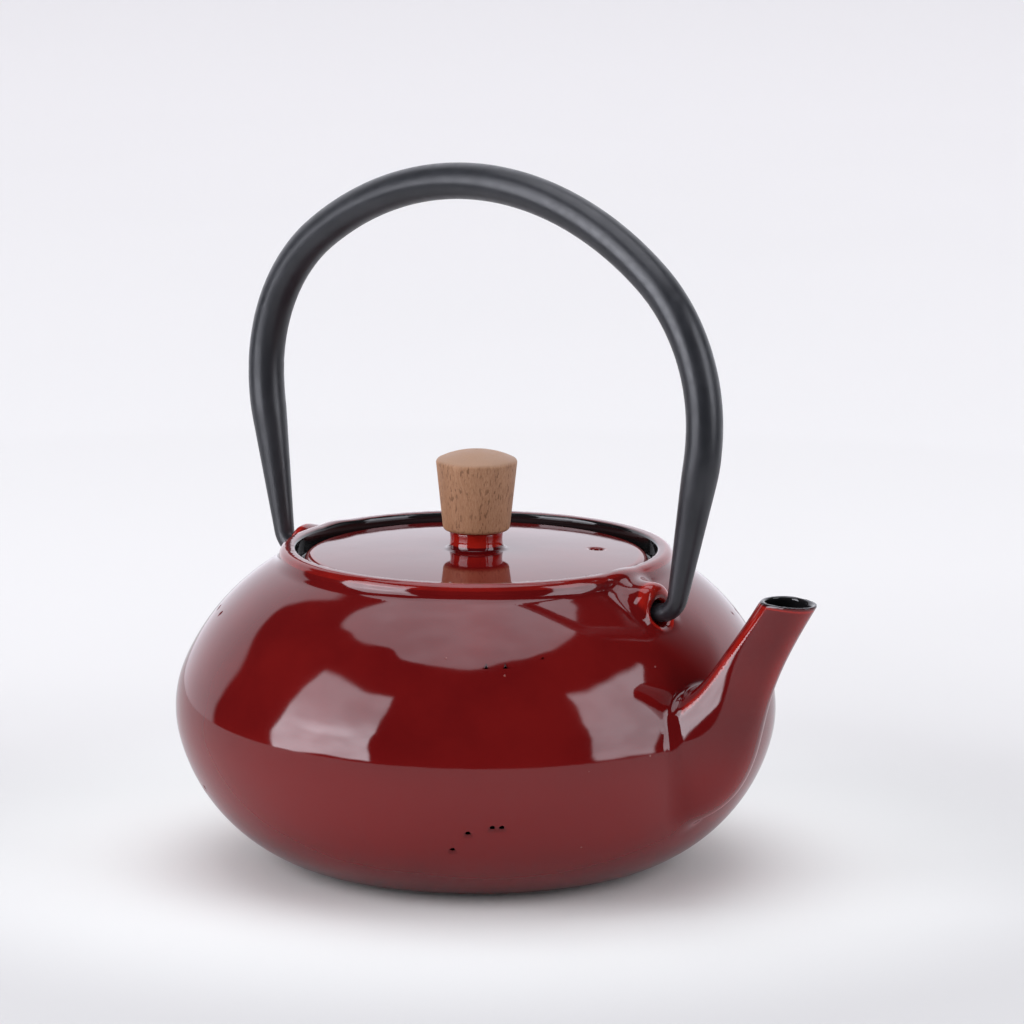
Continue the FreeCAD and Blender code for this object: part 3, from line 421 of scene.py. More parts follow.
def make_piece(name, points, faces, normals=None, body="kettle", replaces=()):
    """A smooth-shaded mesh from points in millimetres, riding on a body."""
    mesh = bpy.data.meshes.new(name)
    points = np.asarray(points) * MM
    if isinstance(faces, np.ndarray):
        mesh.vertices.add(len(points))
        mesh.vertices.foreach_set("co", points.astype(np.float32).ravel())
        mesh.loops.add(faces.size)
        mesh.loops.foreach_set("vertex_index", faces.astype(np.int32).ravel())
        mesh.polygons.add(len(faces))
        mesh.polygons.foreach_set("loop_start", np.arange(len(faces), dtype=np.int32) * faces.shape[1])
        mesh.update(calc_edges=True)
    else:
        mesh.from_pydata([tuple(p) for p in points], [], faces)
    mesh.validate()
    mesh.polygons.foreach_set("use_smooth", [True] * len(mesh.polygons))
    if normals is not None:
        mesh.normals_split_custom_set_from_vertices(normals)
    mesh.update()
    piece = bpy.data.objects.new(name, mesh)
    bpy.context.scene.collection.objects.link(piece)
    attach(piece, body)
    if replaces:
        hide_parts(*replaces)
    return piece


def add_field(piece, name, values):
    """Stores a number per point for the material to read."""
    layer = piece.data.attributes.new(name, "FLOAT", "POINT")
    layer.data.foreach_set("value", np.asarray(values, np.float32))


def lathe(profile, segments):
    """Points and quads of a closed (radius, height) profile turned about Z."""
    profile = np.array(profile)
    turn = np.linspace(0, 2 * math.pi, segments, endpoint=False)
    ring = np.stack([np.cos(turn), np.sin(turn)], axis=1)
    points = [(r * c, r * s, z) for r, z in profile for c, s in ring]
    faces = []
    count = len(profile)
    for i in range(count):
        after = (i + 1) % count
        for j in range(segments):
            k = (j + 1) % segments
            quad = i * segments + j, i * segments + k, after * segments + k, after * segments + j
            faces.append(quad)
    return np.array(points), np.array(faces)


def rounded(corners, steps=6):
    """A closed outline from (x, y, radius) corners, each rounded by an arc."""
    outline = []
    count = len(corners)
    for n, (x, y, radius) in enumerate(corners):
        here = np.array([x, y])
        before = np.array(corners[n - 1][:2]) - here
        after = np.array(corners[(n + 1) % count][:2]) - here
        before, after = before / np.linalg.norm(before), after / np.linalg.norm(after)
        half = math.acos(max(-1, min(1, float(before @ after)))) / 2
        if radius <= 0 or math.pi / 2 - half < 1e-3:
            outline.append(tuple(here))
            continue
        reach = radius / math.tan(half)
        middle = before + after
        centre = here + middle / np.linalg.norm(middle) * radius / math.sin(half)
        start, end = here + before * reach - centre, here + after * reach - centre
        first = math.atan2(start[1], start[0])
        swing = (math.atan2(end[1], end[0]) - first + math.pi) % (2 * math.pi) - math.pi
        for step in range(steps + 1):
            angle = first + swing * step / steps
            outline.append((centre[0] + radius * math.cos(angle), centre[1] + radius * math.sin(angle)))
    return outline


def divided(outline, longest):
    """The outline with its long edges split."""
    fine = []
    for (ax, ay), (bx, by) in zip(outline, outline[1:] + outline[:1]):
        parts = max(1, math.ceil(math.hypot(bx - ax, by - ay) / longest))
        fine += [(ax + (bx - ax) * n / parts, ay + (by - ay) * n / parts) for n in range(parts)]
    return fine


# ---------------------------------------------------------------- the pieces


def build_kettle():
    """The casting, with more points at the foot, ears, spout and collar, and the numbers its enamel reads."""
    coarse, fine = 1.8, 0.62
    far_ear, near_ear, tip = (-67.0, -58.0, 0.7), (58.0, 67.0, 0.7), (84.0, 119.0, fine)
    foot, root, collar = (-2.0, 3.0, 1.0), (47.0, 66.0, 1.0), (71.0, 89.0, fine)
    # The small shifts keep grid planes off the flat faces and the plane of symmetry.
    xs = graded(-90.0, 119.0, coarse, (far_ear, near_ear, tip)) + 0.07
    half = graded(0.0, 86.0, coarse, ((0.0, 9.0, fine),)) + 0.11
    zs = graded(-2.0, 90.0, 1.75, (foot, root, collar)) + 0.03
    points, quads, normals = surface(kettle, xs, np.concatenate([-half[::-1], half]), zs)
    piece = make_piece("kettle_casting", points, quads, normals, replaces=("kettle_body",))
    x, y, z = points.T
    rim = np.where(x > LIP_FROM, np.clip((lip_plane(x, z) + LIP_BLACK) / 0.5, 0, 1), 0)
    within = np.maximum(np.clip(0.5 - (inner_form(x, y, z) - 0.55) / 0.7, 0, 1), rim)
    add_field(piece, "inside", np.where((x > LIP_FROM) | (z < COLLAR_BLACK_FROM), within, 0.0))
    add_field(piece, "bored", np.ones(len(points)))
    add_field(piece, "convex", bend_at(outside, points))
    return piece


def build_lid():
    """The lid, with more points at its vent, neck and rim."""
    neck, (vent_x, vent_y) = (-9.5, 9.5, 0.7), vent_place()
    fine_x = (neck, (vent_x - 3, vent_x + 3, 0.4))
    fine_y = (neck, (vent_y - 3, vent_y + 3, 0.4))
    xs = graded(-49.0, 49.0, 1.25, fine_x) + 0.05
    ys = graded(-49.0, 49.0, 1.25, fine_y) + 0.03
    zs = graded(76.0, 93.0, 0.6, ((81.5, 87.5, 0.4),)) + 0.02
    points, quads, normals = surface(lid_shape, xs, ys, zs)
    piece = make_piece("lid_plate", points, quads, normals, body="lid", replaces=("lid",))
    add_field(piece, "inside", np.zeros(len(points)))
    add_field(piece, "bored", np.zeros(len(points)))
    add_field(piece, "convex", bend_at(lid_shape, points, 0.5))
    return piece


def build_knob():
    """The turned knob, its edges eased by sanding, bored for the screw."""
    rise = KNOB_CROWN - KNOB_EDGE
    dome = (KNOB_TOP**2 + rise**2) / (2 * rise)
    # The dome's steps nearest the edge are left to the edge's own rounding.
    steps, used = 14, 11
    turns = [math.asin(KNOB_TOP / dome) * n / steps for n in range(used, 0, -1)]
    crown = [(dome * math.sin(turn), KNOB_CROWN - dome + dome * math.cos(turn), 0) for turn in turns]
    corners = [
        (SCREW_HOLE, NECK_TOP, 0), (KNOB_FOOT, NECK_TOP, KNOB_FOOT_ROUND),
        (KNOB_TOP, KNOB_EDGE, KNOB_EDGE_ROUND), *crown,
        (AXIS_GAP, KNOB_CROWN, 0), (AXIS_GAP, KNOB_BORE_END, 0), (SCREW_HOLE, KNOB_BORE_END, 0),
    ]
    points, quads = lathe(divided(rounded(corners), 1.0), 96)
    return make_piece(
        "knob_turning", points, quads[:, ::-1], body="lid", replaces=("lid_knob",)
    )


def bail_line():
    """Places, headings and radii down one half of the bail, from the crown to the pin's tip."""
    rise = BAIL_CROWN - BAIL_SHOULDER_HEIGHT
    sx = BAIL_HALF_WIDTH - BAIL_SHOULDER
    crown_bow = (sx**2 + rise**2 - BAIL_SHOULDER**2) / (2 * (rise - BAIL_SHOULDER))
    crown_z = BAIL_CROWN - crown_bow
    join = math.atan2(sx, BAIL_SHOULDER_HEIGHT - crown_z)
    level, down = math.pi / 2, math.pi / 2 + LEG_TILT
    bend_step, leg_step, hook_step, pin_steps = 1.3, 1.2, 0.5, 8
    runs = []

    def arc(cx, cz, radius, first, last, step):
        count = max(2, int(abs(last - first) * radius / step))
        for n in range(count):
            angle = first + (last - first) * n / count
            runs.append((cx + radius * math.sin(angle), cz + radius * math.cos(angle), angle))

    bow_x = BAIL_HALF_WIDTH - LEG_BOW
    arc(0, crown_z, crown_bow, 0, join, bend_step)
    arc(sx, BAIL_SHOULDER_HEIGHT, BAIL_SHOULDER, join, level, bend_step)
    arc(bow_x, BAIL_SHOULDER_HEIGHT, LEG_BOW, level, down, bend_step)
    leg_x, leg_z = bow_x + LEG_BOW * math.sin(down), BAIL_SHOULDER_HEIGHT + LEG_BOW * math.cos(down)
    ankle_z = PIVOT_HEIGHT + HOOK_BEND * (1 - math.sin(LEG_TILT))
    fall = leg_z - ankle_z
    ankle_x = leg_x - fall * math.tan(LEG_TILT)
    count = int(fall / leg_step)
    for n in range(count):
        runs.append((leg_x + (ankle_x - leg_x) * n / count, leg_z - fall * n / count, down))
    hook_x, hook_z = ankle_x - HOOK_BEND * math.cos(LEG_TILT), PIVOT_HEIGHT + HOOK_BEND
    arc(hook_x, hook_z, HOOK_BEND, down, math.pi, hook_step)
    for n in range(pin_steps + 1):
        runs.append((hook_x + (PIN_TIP - hook_x) * n / pin_steps, PIVOT_HEIGHT, math.pi))
    line = np.array(runs)
    z = line[:, 1]
    taper = np.clip((leg_z - z) / fall, 0, 1)
    radius = BAIL_RADIUS + (ANKLE_RADIUS - BAIL_RADIUS) * taper
    hooked = np.clip((ankle_z - z) / (ankle_z - PIVOT_HEIGHT), 0, 1)
    radius = np.where(z < ankle_z, ANKLE_RADIUS + (HOOK_RADIUS - ANKLE_RADIUS) * hooked, radius)
    reach = np.concatenate([[0], np.cumsum(np.hypot(*np.diff(line[:, :2], axis=0).T))])
    shifts = np.linspace(-TAPER_BLEND, TAPER_BLEND, 13)
    blended = np.array([np.interp(reach + shift, reach, radius) for shift in shifts]).mean(axis=0)
    return line, np.where(reach < reach[-1] - PIN_LENGTH, blended, radius)


def build_bail():
    """The bail as one bar swept along its line, eased at the pins' ends."""
    line, radius = bail_line()
    places = [(x, z, angle, r) for (x, z, angle), r in zip(line, radius)]
    x, z, angle, r = places[-1]
    places[-1:] = [(x + back, z, angle, r * share) for back, share in PIN_END]
    places = [(-x, z, -angle, r) for x, z, angle, r in places[:0:-1]] + places
    sides = 40
    turn = np.linspace(0, 2 * math.pi, sides, endpoint=False)
    points = []
    for x, z, angle, r in places:
        out = np.array([math.sin(angle), 0, math.cos(angle)])
        for t in turn:
            spoke = math.cos(t) * out + math.sin(t) * np.array([0, 1, 0])
            points.append(np.array([x, 0, z]) + r * spoke)
    points = np.array(points)
    lean = Matrix.Rotation(-BAIL_LEAN, 3, "X")
    pivot = np.array([0, 0, PIVOT_HEIGHT])
    points = (points - pivot) @ np.array(lean).T + pivot
    faces = []
    for i in range(len(places) - 1):
        for j in range(sides):
            k = (j + 1) % sides
            faces.append((i * sides + j, (i + 1) * sides + j, (i + 1) * sides + k, i * sides + k))
    faces.append(tuple(range(sides)))
    faces.append(tuple(len(places) * sides - 1 - n for n in range(sides)))
    return make_piece("bail_bar", points, faces, body="bail", replaces=("bail_handle",))


# ---------------------------------------------------------------- materials

# Colours are linear. Lengths in materials are metres.
ENAMEL_DEEP, ENAMEL_LIGHT = (0.108, 0.0035, 0.0040, 1), (0.138, 0.0050, 0.0050, 1)
ENAMEL_LOW_PAINTED_BOUNCE, ENAMEL_HOLLOW_PAINTED_SHADE = (0.165, 0.0060, 0.0060, 1), (0.075, 0.002, 0.003, 1)
ENAMEL_EDGE_PAINTED_LIGHT, ENAMEL_SPECK = (0.36, 0.0125, 0.007, 1), (0.30, 0.12, 0.10, 1)
ENAMEL_BLACK = (0.010, 0.010, 0.011, 1)
WOOD_DARK, WOOD_LIGHT, WOOD_PALE = (0.345, 0.180, 0.100, 1), (0.44, 0.245, 0.145, 1), (0.50, 0.30, 0.19, 1)
WOOD_GRAIN, WOOD_PORE, WOOD_CROWN = (0.27, 0.125, 0.060, 1), (0.13, 0.055, 0.026, 1), (0.37, 0.24, 0.175, 1)
PAINT_DARK, PAINT_LIGHT = (0.0165, 0.0175, 0.0215, 1), (0.0235, 0.0245, 0.0295, 1)
PAPER_FRONT_PAINTED_SHADE, PAPER_MIDDLE, PAPER_BACK_PAINTED_LIGHT = (0.64, 0.64, 0.665, 1), (0.845, 0.84, 0.87, 1), (0.955, 0.94, 0.98, 1)
PAPER_UNDER_PAINTED_LIGHT = (0.94, 0.965, 0.985, 1)
# TABLE_DARK and TABLE_LIGHT are painted shade: the table seen in reflections is darker than the floor.
TABLE_DARK, TABLE_LIGHT = (0.60, 0.595, 0.63, 1), (0.64, 0.635, 0.67, 1)
REFLECTION_TINT, EVEN_LIGHT = (0.975, 0.985, 1.075, 1), (0.47, 0.47, 0.48, 1)


class Shading:
    """A material with one Principled shader, and short calls that add the nodes behind it."""

    def __init__(self, name):
        self.material = bpy.data.materials.new(name)
        self.material.use_nodes = True
        self.tree = self.material.node_tree
        self.tree.nodes.clear()
        self.shader = self.tree.nodes.new("ShaderNodeBsdfPrincipled")
        output = self.tree.nodes.new("ShaderNodeOutputMaterial")
        self.tree.links.new(self.shader.outputs[0], output.inputs[0])

    def node(self, kind, inputs=(), **settings):
        """Adds a node, sets its properties and its inputs (a number, a colour or another socket)."""
        made = self.tree.nodes.new(kind)
        for key, value in settings.items():
            setattr(made, key, value)
        for key, value in dict(inputs).items():
            self.put(made.inputs[key], value)
        return made

    def put(self, socket, value):
        if isinstance(value, bpy.types.NodeSocket):
            self.tree.links.new(value, socket)
        else:
            socket.default_value = value

    def set(self, **values):
        """Sets the shader's own sockets; an underscore in a key stands for a space."""
        for key, value in values.items():
            self.put(self.shader.inputs[key.replace("_", " ")], value)

    def place(self):
        return self.node("ShaderNodeTexCoord").outputs["Object"]

    def noise(self, scale, detail=2.0, rough=0.5, vector=None):
        inputs = {"Vector": vector or self.place(), "Scale": scale, "Detail": detail, "Roughness": rough}
        return self.node("ShaderNodeTexNoise", inputs).outputs[0]

    def ramp(self, value, low, high, to_low=0.0, to_high=1.0):
        inputs = {"Value": value, "From Min": low, "From Max": high, "To Min": to_low, "To Max": to_high}
        return self.node("ShaderNodeMapRange", inputs, interpolation_type="SMOOTHSTEP").outputs[0]

    def mix(self, share, first, second):
        made = self.node("ShaderNodeMix", data_type="RGBA")
        self.put(made.inputs[0], share)
        self.put(made.inputs[6], first)
        self.put(made.inputs[7], second)
        return made.outputs[2]

    def math(self, operation, first, second=0.0):
        made = self.node("ShaderNodeMath", operation=operation)
        self.put(made.inputs[0], first)
        self.put(made.inputs[1], second)
        return made.outputs[0]

    def field(self, name):
        return self.node("ShaderNodeAttribute", attribute_name=name).outputs["Fac"]

    def bump(self, height, distance, strength=1.0, normal=None):
        inputs = {"Height": height, "Distance": distance, "Strength": strength}
        if normal is not None:
            inputs["Normal"] = normal
        return self.node("ShaderNodeBump", inputs).outputs[0]


def enamel():
    """Deep red vitreous enamel, black inside, with orange peel, and painted light: more orange on outer edges
    and the lid's neck, lighter on the lower belly; painted shade: darker in hollows.
    """
    look = Shading("red_enamel")
    tone = look.ramp(look.noise(28.0, 4.0, 0.6), 0.35, 0.68)
    red = look.mix(tone, ENAMEL_DEEP, ENAMEL_LIGHT)
    height = look.node("ShaderNodeSeparateXYZ", {"Vector": look.place()}).outputs[2]
    # Painted light: the lower belly, from just above the foot to about its widest line, is made lighter as if
    # lit from the floor below.
    low = look.math("MULTIPLY", look.ramp(height, 0.004, 0.026), look.ramp(height, 0.034, 0.052, 1.0, 0.0))
    red = look.mix(look.math("MULTIPLY", low, 0.9), red, ENAMEL_LOW_PAINTED_BOUNCE)
    flat = look.node("ShaderNodeVectorMath", {0: look.place(), 1: (1, 1, 0)}, operation="MULTIPLY")
    radius = look.node("ShaderNodeVectorMath", {0: flat.outputs[0]}, operation="LENGTH").outputs["Value"]
    # The painted light on edges shows less on the collar's and the lid's rims, and all over the lid's neck.
    rims = look.math("MULTIPLY", look.ramp(radius, 0.020, 0.030), look.ramp(radius, 0.0540, 0.0565, 1.0, 0.0))
    rims = look.math("MULTIPLY", rims, look.ramp(height, 0.072, 0.075))
    neck = look.ramp(radius, 0.0090, 0.0105, 1.0, 0.0)
    neck = look.math("MULTIPLY", neck, look.ramp(height, 0.0869, 0.0877))
    # Painted light: outer edges, found by their convexity, are coloured a lighter orange red, as where light
    # catches them.
    edge = look.ramp(look.field("convex"), 0.05, 0.14)
    edge = look.math("MULTIPLY", edge, look.ramp(look.field("convex"), 0.17, 0.40, 1.0, 0.12))
    edge = look.math("MULTIPLY", edge, look.ramp(rims, 0.0, 1.0, 1.0, 0.40))
    edge = look.math("MAXIMUM", edge, neck)
    wander = look.ramp(look.noise(160.0, 3.0), 0.3, 0.7, 0.60, 1.0)
    red = look.mix(look.math("MULTIPLY", edge, wander), red, ENAMEL_EDGE_PAINTED_LIGHT)
    # Painted shade: hollows such as fillets and creases are darkened.
    hollow_shade = look.ramp(look.field("convex"), -0.25, -0.05, 1.0, 0.0)
    red = look.mix(hollow_shade, red, ENAMEL_HOLLOW_PAINTED_SHADE)
    cells = look.node("ShaderNodeTexVoronoi", {"Vector": look.place(), "Scale": 150.0})
    speck = look.ramp(cells.outputs["Distance"], 0.030, 0.055, 1.0, 0.0)
    chosen = look.node("ShaderNodeSeparateColor", {"Color": cells.outputs["Color"]}).outputs[0]
    speck = look.math("MULTIPLY", speck, look.math("GREATER_THAN", chosen, 0.86))
    red = look.mix(look.math("MULTIPLY", speck, 0.45), red, ENAMEL_SPECK)
    bore = look.ramp(radius, (COLLAR_BLACK - 0.1) * MM, (COLLAR_BLACK + 0.1) * MM, 1.0, 0.0)
    bore = look.math("MULTIPLY", bore, look.ramp(height, (COLLAR_BLACK_FROM - 1) * MM, COLLAR_BLACK_FROM * MM))
    bore = look.math("MULTIPLY", bore, look.field("bored"))
    black = look.math("MAXIMUM", look.field("inside"), bore)
    peel = look.math("MULTIPLY", look.noise(330.0, 1.0, 0.4), 0.10)
    peel = look.math("ADD", peel, look.noise(60.0, 1.0, 0.4))
    peel = look.math("ADD", peel, look.math("MULTIPLY", speck, 0.35))
    look.set(
        Base_Color=look.mix(black, red, ENAMEL_BLACK), IOR=1.52, Normal=look.bump(peel, 0.00006),
        Roughness=look.ramp(look.noise(45.0, 3.0), 0.3, 0.7, 0.045, 0.085),
    )
    return look.material


def beech():
    """Sanded beech: fine upright pores and flecks in the sides, paler and more closed on the crown."""
    look = Shading("beech_wood")
    along = look.node("ShaderNodeMapping", {"Vector": look.place(), "Scale": (1.0, 1.0, 0.13)}).outputs[0]
    growth = look.ramp(look.noise(210.0, 3.0, 0.6, along), 0.3, 0.72)
    colour = look.mix(growth, WOOD_DARK, WOOD_LIGHT)
    broad = look.ramp(look.noise(75.0, 2.0, 0.5, along), 0.35, 0.7)
    colour = look.mix(look.math("MULTIPLY", broad, 0.45), colour, WOOD_PALE)
    finer = look.node("ShaderNodeMapping", {"Vector": look.place(), "Scale": (1.0, 1.0, 0.24)}).outputs[0]
    pore = look.ramp(look.noise(1900.0, 2.0, 0.6, finer), 0.53, 0.66)
    patch = look.ramp(look.noise(260.0, 2.0, 0.5, along), 0.30, 0.60, 0.25, 1.0)
    grain = look.noise(2600.0, 3.0, 0.7, finer)
    colour = look.mix(look.ramp(grain, 0.30, 0.72, 0.0, 0.55), colour, WOOD_GRAIN)
    pore = look.math("MULTIPLY", pore, patch)
    height = look.node("ShaderNodeSeparateXYZ", {"Vector": look.place()}).outputs[2]
    crown = look.ramp(height, 0.1106, 0.1114)
    sides = look.math("SUBTRACT", 1.0, crown)
    pore = look.math("MULTIPLY", pore, look.math("ADD", look.math("MULTIPLY", sides, 0.75), 0.22))
    colour = look.mix(look.math("MULTIPLY", pore, 0.75), colour, WOOD_PORE)
    colour = look.mix(look.math("MULTIPLY", crown, 0.6), colour, WOOD_CROWN)
    look.set(
        Base_Color=colour, Roughness=look.ramp(growth, 0.0, 1.0, 0.50, 0.62), IOR=1.45,
        Normal=look.bump(pore, -0.00006, 0.8, look.bump(growth, 0.00002, 0.6)),
    )
    return look.material


def black_paint():
    """Satin black paint, with a faint powder grain and a slow unevenness from the bent bar."""
    look = Shading("satin_black")
    tone = look.ramp(look.noise(90.0, 3.0), 0.35, 0.65)
    grain = look.math("ADD", look.math("MULTIPLY", look.noise(2600.0, 2.0), 0.05), look.noise(110.0, 1.0))
    look.set(
        Base_Color=look.mix(tone, PAINT_DARK, PAINT_LIGHT), IOR=1.5, Normal=look.bump(grain, 0.00012, 0.8),
        Roughness=look.ramp(look.noise(400.0, 3.0), 0.3, 0.7, 0.30, 0.40),
    )
    return look.material


def steel(name, bright, rough, scale):
    """Stainless steel with fine brushing, drawn out where scale is small."""
    look = Shading(name)
    drawn = look.node("ShaderNodeMapping", {"Vector": look.place(), "Scale": scale}).outputs[0]
    brush = look.noise(2400.0, 2.0, 0.5, drawn)
    tone = look.ramp(look.noise(40.0, 2.0), 0.3, 0.7)
    dark, light = (bright * 0.9, bright * 0.9, bright * 0.91, 1), (bright, bright, bright * 1.01, 1)
    look.set(
        Base_Color=look.mix(tone, dark, light), Metallic=1.0, Normal=look.bump(brush, 0.0000025, 0.5),
        Roughness=look.ramp(brush, 0.3, 0.7, rough * 0.8, rough * 1.2),
    )
    return look.material


def give(thing, material):
    """Puts one material on everything in a mesh."""
    thing.data.materials.clear()
    thing.data.materials.append(material)


# ---------------------------------------------------------------- stage, light and camera


def flat_disc(name, radius, height, centre=(0.0, 0.0)):
    """A round flat sheet, part of the stage. Lengths from here on are metres."""
    sides = 128
    turn = np.linspace(0, 2 * math.pi, sides, endpoint=False)
    x, y = centre
    corners = [(x + radius * math.cos(t), y + radius * math.sin(t), height) for t in turn]
    mesh = bpy.data.meshes.new(name)
    mesh.from_pydata(corners, [], [tuple(range(sides))])
    disc = bpy.data.objects.new(name, mesh)
    bpy.context.scene.collection.objects.link(disc)
    return disc


def table_paper_painted_shade():
    """The darker table that only reflections show, a painted shade on the floor that the enamel reflects."""
    look = Shading("table_paper_painted_shade")
    fibres = look.ramp(look.noise(500.0, 2.0), 0.3, 0.7)
    look.set(Base_Color=look.mix(fibres, TABLE_DARK, TABLE_LIGHT), Roughness=0.9)
    return look.material


def paper():
    """Matt pale paper with painted light: paler under the kettle, which lightens its shadow, and paler towards
    the far side, darker in front. Its tones are fixed to the floor.
    """
    look = Shading("pale_paper_painted_light")
    x, y, _ = look.node("ShaderNodeSeparateXYZ", {"Vector": look.place()}).outputs
    # Painted light: the paper darkens towards the front and pales towards the far side.
    away = look.math(
        "SUBTRACT",
        look.math("MULTIPLY", y, math.cos(CAMERA_TURN)), look.math("MULTIPLY", x, math.sin(CAMERA_TURN)),
    )
    away = look.math("ADD", away, look.ramp(look.noise(3.0, 2.0), 0.3, 0.7, -0.05, 0.05))
    colour = look.mix(look.ramp(away, -0.3, 0.5), PAPER_FRONT_PAINTED_SHADE, PAPER_MIDDLE)
    colour = look.mix(look.ramp(away, 0.5, 1.8), colour, PAPER_BACK_PAINTED_LIGHT)
    # Painted light: the paper is paler near the kettle, which lightens the kettle's shadow.
    from_centre = look.node("ShaderNodeVectorMath", {0: look.place()}, operation="LENGTH").outputs["Value"]
    colour = look.mix(look.ramp(from_centre, 0.07, 0.20, 1.0, 0.0), colour, PAPER_UNDER_PAINTED_LIGHT)
    weave = look.bump(look.noise(700.0, 2.0), 0.0001, 0.3)
    look.set(Base_Color=colour, Roughness=0.9, Normal=weave, Specular_IOR_Level=0.2)
    return look.material


def panel(name, heading, rise, distance, width, height, radiance):
    """A soft light facing the kettle from a heading and height angle in degrees, unseen in reflections."""
    turn, lift = math.radians(heading), math.radians(rise)
    spot = Vector((math.cos(turn) * math.cos(lift), math.sin(turn) * math.cos(lift), math.sin(lift)))
    spot = spot * distance
    light = bpy.data.lights.new(name, "AREA")
    light.shape = "RECTANGLE"
    light.size, light.size_y = width, height
    light.energy = radiance * math.pi * width * height
    thing = bpy.data.objects.new(name, light)
    thing.location = spot + Vector((0, 0, BELLY_HEIGHT * MM))
    thing.rotation_euler = (-spot).to_track_quat("-Z", "Y").to_euler()
    thing.visible_glossy = False
    bpy.context.scene.collection.objects.link(thing)
    return thing


class Sky:
    """The world's nodes, with short calls for the soft-edged shapes of light that reflections show."""

    def __init__(self, tree):
        self.tree = tree
        tree.nodes.clear()
        self.heading = self.add("ShaderNodeTexCoord").outputs["Generated"]
        parts = self.add("ShaderNodeSeparateXYZ", self.heading).outputs
        self.x, self.y, self.up = parts[0], parts[1], parts[2]
        wander = self.add("ShaderNodeTexNoise", self.heading)
        wander.inputs["Scale"].default_value = 3.6
        wander.inputs["Detail"].default_value = 0.6
        self.wander = self.math("SUBTRACT", wander.outputs[0], 0.5)

    def add(self, kind, *inputs, **settings):
        made = self.tree.nodes.new(kind)
        for key, value in settings.items():
            setattr(made, key, value)
        for socket, value in zip(made.inputs, inputs):
            if isinstance(value, bpy.types.NodeSocket):
                self.tree.links.new(value, socket)
            else:
                socket.default_value = value
        return made

    def math(self, operation, first, second=0.0):
        return self.add("ShaderNodeMath", first, second, operation=operation).outputs[0]

    def ramp(self, value, low, high, to_low=0.0, to_high=1.0):
        inputs = value, low, high, to_low, to_high
        return self.add("ShaderNodeMapRange", *inputs, interpolation_type="SMOOTHSTEP").outputs[0]

    def band(self, value, start, full, fading, end):
        """Two shares whose product is 1 from full to fading, and 0 before start and after end."""
        return self.ramp(value, start, full), self.ramp(value, fading, end, 1.0, 0.0)

    def turn_from(self, heading):
        """Angle in degrees from a heading, counter-clockwise seen from above, with a slight wander."""
        turn = math.radians(heading)
        ahead = self.math("ADD", self.math("MULTIPLY", self.x, math.cos(turn)),
                          self.math("MULTIPLY", self.y, math.sin(turn)))
        aside = self.math("SUBTRACT", self.math("MULTIPLY", self.y, math.cos(turn)),
                          self.math("MULTIPLY", self.x, math.sin(turn)))
        angle = self.math("MULTIPLY", self.math("ARCTAN2", aside, ahead), math.degrees(1.0))
        return self.math("ADD", angle, self.math("MULTIPLY", self.wander, 5.0))

    def rise(self):
        """Height angle in degrees, with a slight wander."""
        angle = self.math("MULTIPLY", self.math("ARCSINE", self.up), math.degrees(1.0))
        return self.math("ADD", angle, self.math("MULTIPLY", self.wander, -6.0))

    def all_of(self, *values):
        product = values[0]
        for value in values[1:]:
            product = self.math("MULTIPLY", product, value)
        return product

    def sum_of(self, *values):
        total = values[0]
        for value in values[1:]:
            total = self.math("ADD", total, value)
        return total


def reflected_studio(sky):
    """What glossy surfaces see: a dark room with two windows, a sheet overhead and a pale backdrop.

    Angles are in degrees, and the numbers that stand alone are radiances.
    """
    rise = sky.rise()
    folds = sky.add("ShaderNodeTexNoise", sky.heading)
    folds.inputs["Scale"].default_value = 5.0
    folds.inputs["Detail"].default_value = 1.5
    fold = sky.ramp(folds.outputs[0], 0.3, 0.7, 0.90, 1.10)
    left, right = sky.turn_from(-110.5), sky.turn_from(14.0)
    window_left = sky.all_of(
        *sky.band(left, -22.5, -21.0, 20.0, 21.5), *sky.band(rise, -8.5, -6.5, 43.0, 45.0),
        sky.ramp(rise, 12.0, 36.0, 6.3, 3.6), fold,
    )
    streak = sky.all_of(
        *sky.band(left, -19.0, -8.0, 6.0, 20.0),
        sky.ramp(rise, 11.0, 16.0), sky.ramp(rise, 17.0, 24.0, 1.8, 0.0),
    )
    slant = sky.math("SUBTRACT", right, sky.ramp(rise, -6.0, 36.0, -9.0, 2.0))
    slant = sky.math("SUBTRACT", slant, sky.ramp(rise, 36.0, 43.0, 0.0, 9.0))
    window_right = sky.all_of(
        sky.ramp(right, -18.5, -17.0), sky.ramp(slant, 16.0, 18.0, 1.0, 0.0),
        *sky.band(rise, -8.5, -6.5, 42.0, 45.0), fold, 3.6,
    )
    tilt = sky.sum_of(
        sky.up, sky.math("MULTIPLY", sky.x, -0.075), sky.math("MULTIPLY", sky.y, 0.02),
        sky.math("MULTIPLY", sky.wander, 0.14),
    )
    overhead = sky.all_of(sky.ramp(tilt, 0.885, 0.895), fold, 2.15)
    behind = sky.turn_from(125.0)
    spread = sky.math("ADD", behind, sky.ramp(rise, 20.0, 37.0, 0.0, 22.0))
    near_side = sky.math("SUBTRACT", behind, sky.ramp(rise, 10.0, 24.0, -26.0, 0.0))
    backdrop = sky.all_of(
        sky.ramp(spread, 65.0, 69.0, 1.0, 0.0), sky.ramp(near_side, -66.0, -24.0),
        sky.ramp(sky.math("ABSOLUTE", behind), 15.0, 60.0, 1.25, 1.05), sky.ramp(rise, 48.0, 52.0, 1.0, 0.0),
    )
    dark_room = 0.025
    return sky.sum_of(window_left, streak, window_right, overhead, backdrop, dark_room)


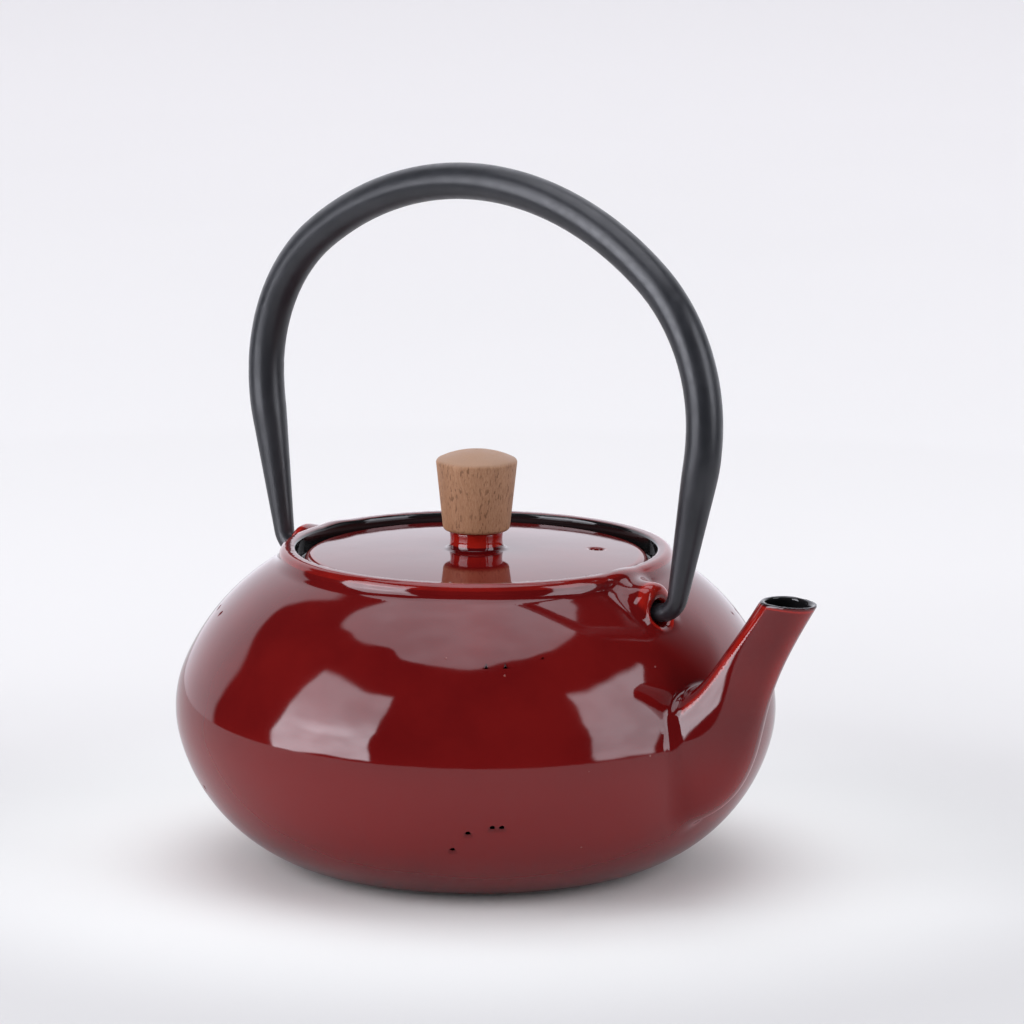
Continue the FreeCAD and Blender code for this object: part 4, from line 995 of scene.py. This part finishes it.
def studio():
    """Pale floor, soft light all round with panels in front and overhead, and what reflections show."""
    floor = flat_disc("floor", 9.0, -0.0002)
    give(floor, paper())
    floor.visible_glossy = False
    # Painted shade: reflections see this darker table in place of the floor.
    table = flat_disc("table_in_reflections", 0.485, -0.0001, centre=(-0.127, 0.127))
    give(table, table_paper_painted_shade())
    table.visible_camera = table.visible_shadow = False
    table.visible_diffuse = table.visible_transmission = False
    window = {"rise": 17.0, "distance": 1.3, "width": 0.93, "height": 1.30}
    panel("left_window", heading=-110.0, radiance=3.3, **window)
    panel("right_window", heading=15.0, radiance=2.2, **window)
    panel("overhead", heading=140.0, rise=84.0, distance=1.5, width=1.35, height=1.35, radiance=1.2)
    far_side = 130.3
    beyond = panel("beyond", heading=far_side, rise=38.0, distance=2.5, width=3.4, height=3.0, radiance=0.55)
    # This one hangs level and lights the floor beyond the kettle.
    beyond.rotation_euler = (0, 0, math.radians(far_side))
    # Glossy rays see the reflected studio, all others an even light.
    world = bpy.data.worlds.new("studio")
    bpy.context.scene.world = world
    world.use_nodes = True
    sky = Sky(world.node_tree)
    level = reflected_studio(sky)
    tint = sky.add("ShaderNodeMix", data_type="RGBA", blend_type="MULTIPLY")
    tint.inputs[0].default_value = 1.0
    tint.inputs[6].default_value = REFLECTION_TINT
    sky.tree.links.new(level, tint.inputs[7])
    whole = sky.add("ShaderNodeMix", data_type="RGBA")
    whole.inputs[6].default_value = EVEN_LIGHT
    sky.tree.links.new(sky.add("ShaderNodeLightPath").outputs["Is Glossy Ray"], whole.inputs[0])
    sky.tree.links.new(tint.outputs[2], whole.inputs[7])
    back = sky.add("ShaderNodeBackground", whole.outputs[2])
    sky.add("ShaderNodeOutputWorld", back.outputs[0])


# The camera looks at a point on the kettle from a heading and height, with a slight roll.
AIM = Vector((0.0, 0.01503, 0.09438))
CAMERA_TURN, CAMERA_RISE, CAMERA_ROLL = math.radians(40.32), math.radians(10.917), math.radians(0.27)
CAMERA_DISTANCE, LENS = 1.98224, 253.0


def camera():
    """The camera at the photograph's viewing angle."""
    data = bpy.data.cameras.new("camera")
    data.lens, data.sensor_width = LENS, 36.0
    data.clip_end = 50.0
    thing = bpy.data.objects.new("camera", data)
    right = Vector((math.cos(CAMERA_TURN), math.sin(CAMERA_TURN), 0))
    flat = math.cos(CAMERA_RISE)
    ahead = Vector((-math.sin(CAMERA_TURN) * flat, math.cos(CAMERA_TURN) * flat, -math.sin(CAMERA_RISE)))
    up = right.cross(ahead)
    rolled = math.cos(CAMERA_ROLL) * right + math.sin(CAMERA_ROLL) * up
    raised = -math.sin(CAMERA_ROLL) * right + math.cos(CAMERA_ROLL) * up
    place = AIM - ahead * CAMERA_DISTANCE
    turn = Matrix((rolled, raised, -ahead)).transposed().to_4x4()
    thing.matrix_world = Matrix.Translation(place) @ turn
    bpy.context.scene.collection.objects.link(thing)
    bpy.context.scene.camera = thing


red = enamel()
give(build_kettle(), red)
give(build_lid(), red)
give(build_knob(), beech())
give(build_bail(), black_paint())
sheet_steel = steel("infuser_sheet_steel", 0.60, 0.30, (0.2, 0.2, 1.0))
for node in ("infuser_rim", "infuser_wall", "infuser_base"):
    give(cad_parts[node], sheet_steel)
turned_steel = steel("turned_steel", 0.55, 0.25, (1.0, 1.0, 0.3))
for node in ("knob_screw", "knob_washer"):
    give(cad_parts[node], turned_steel)
studio()
camera()
bpy.context.scene.view_settings.view_transform = "Standard"
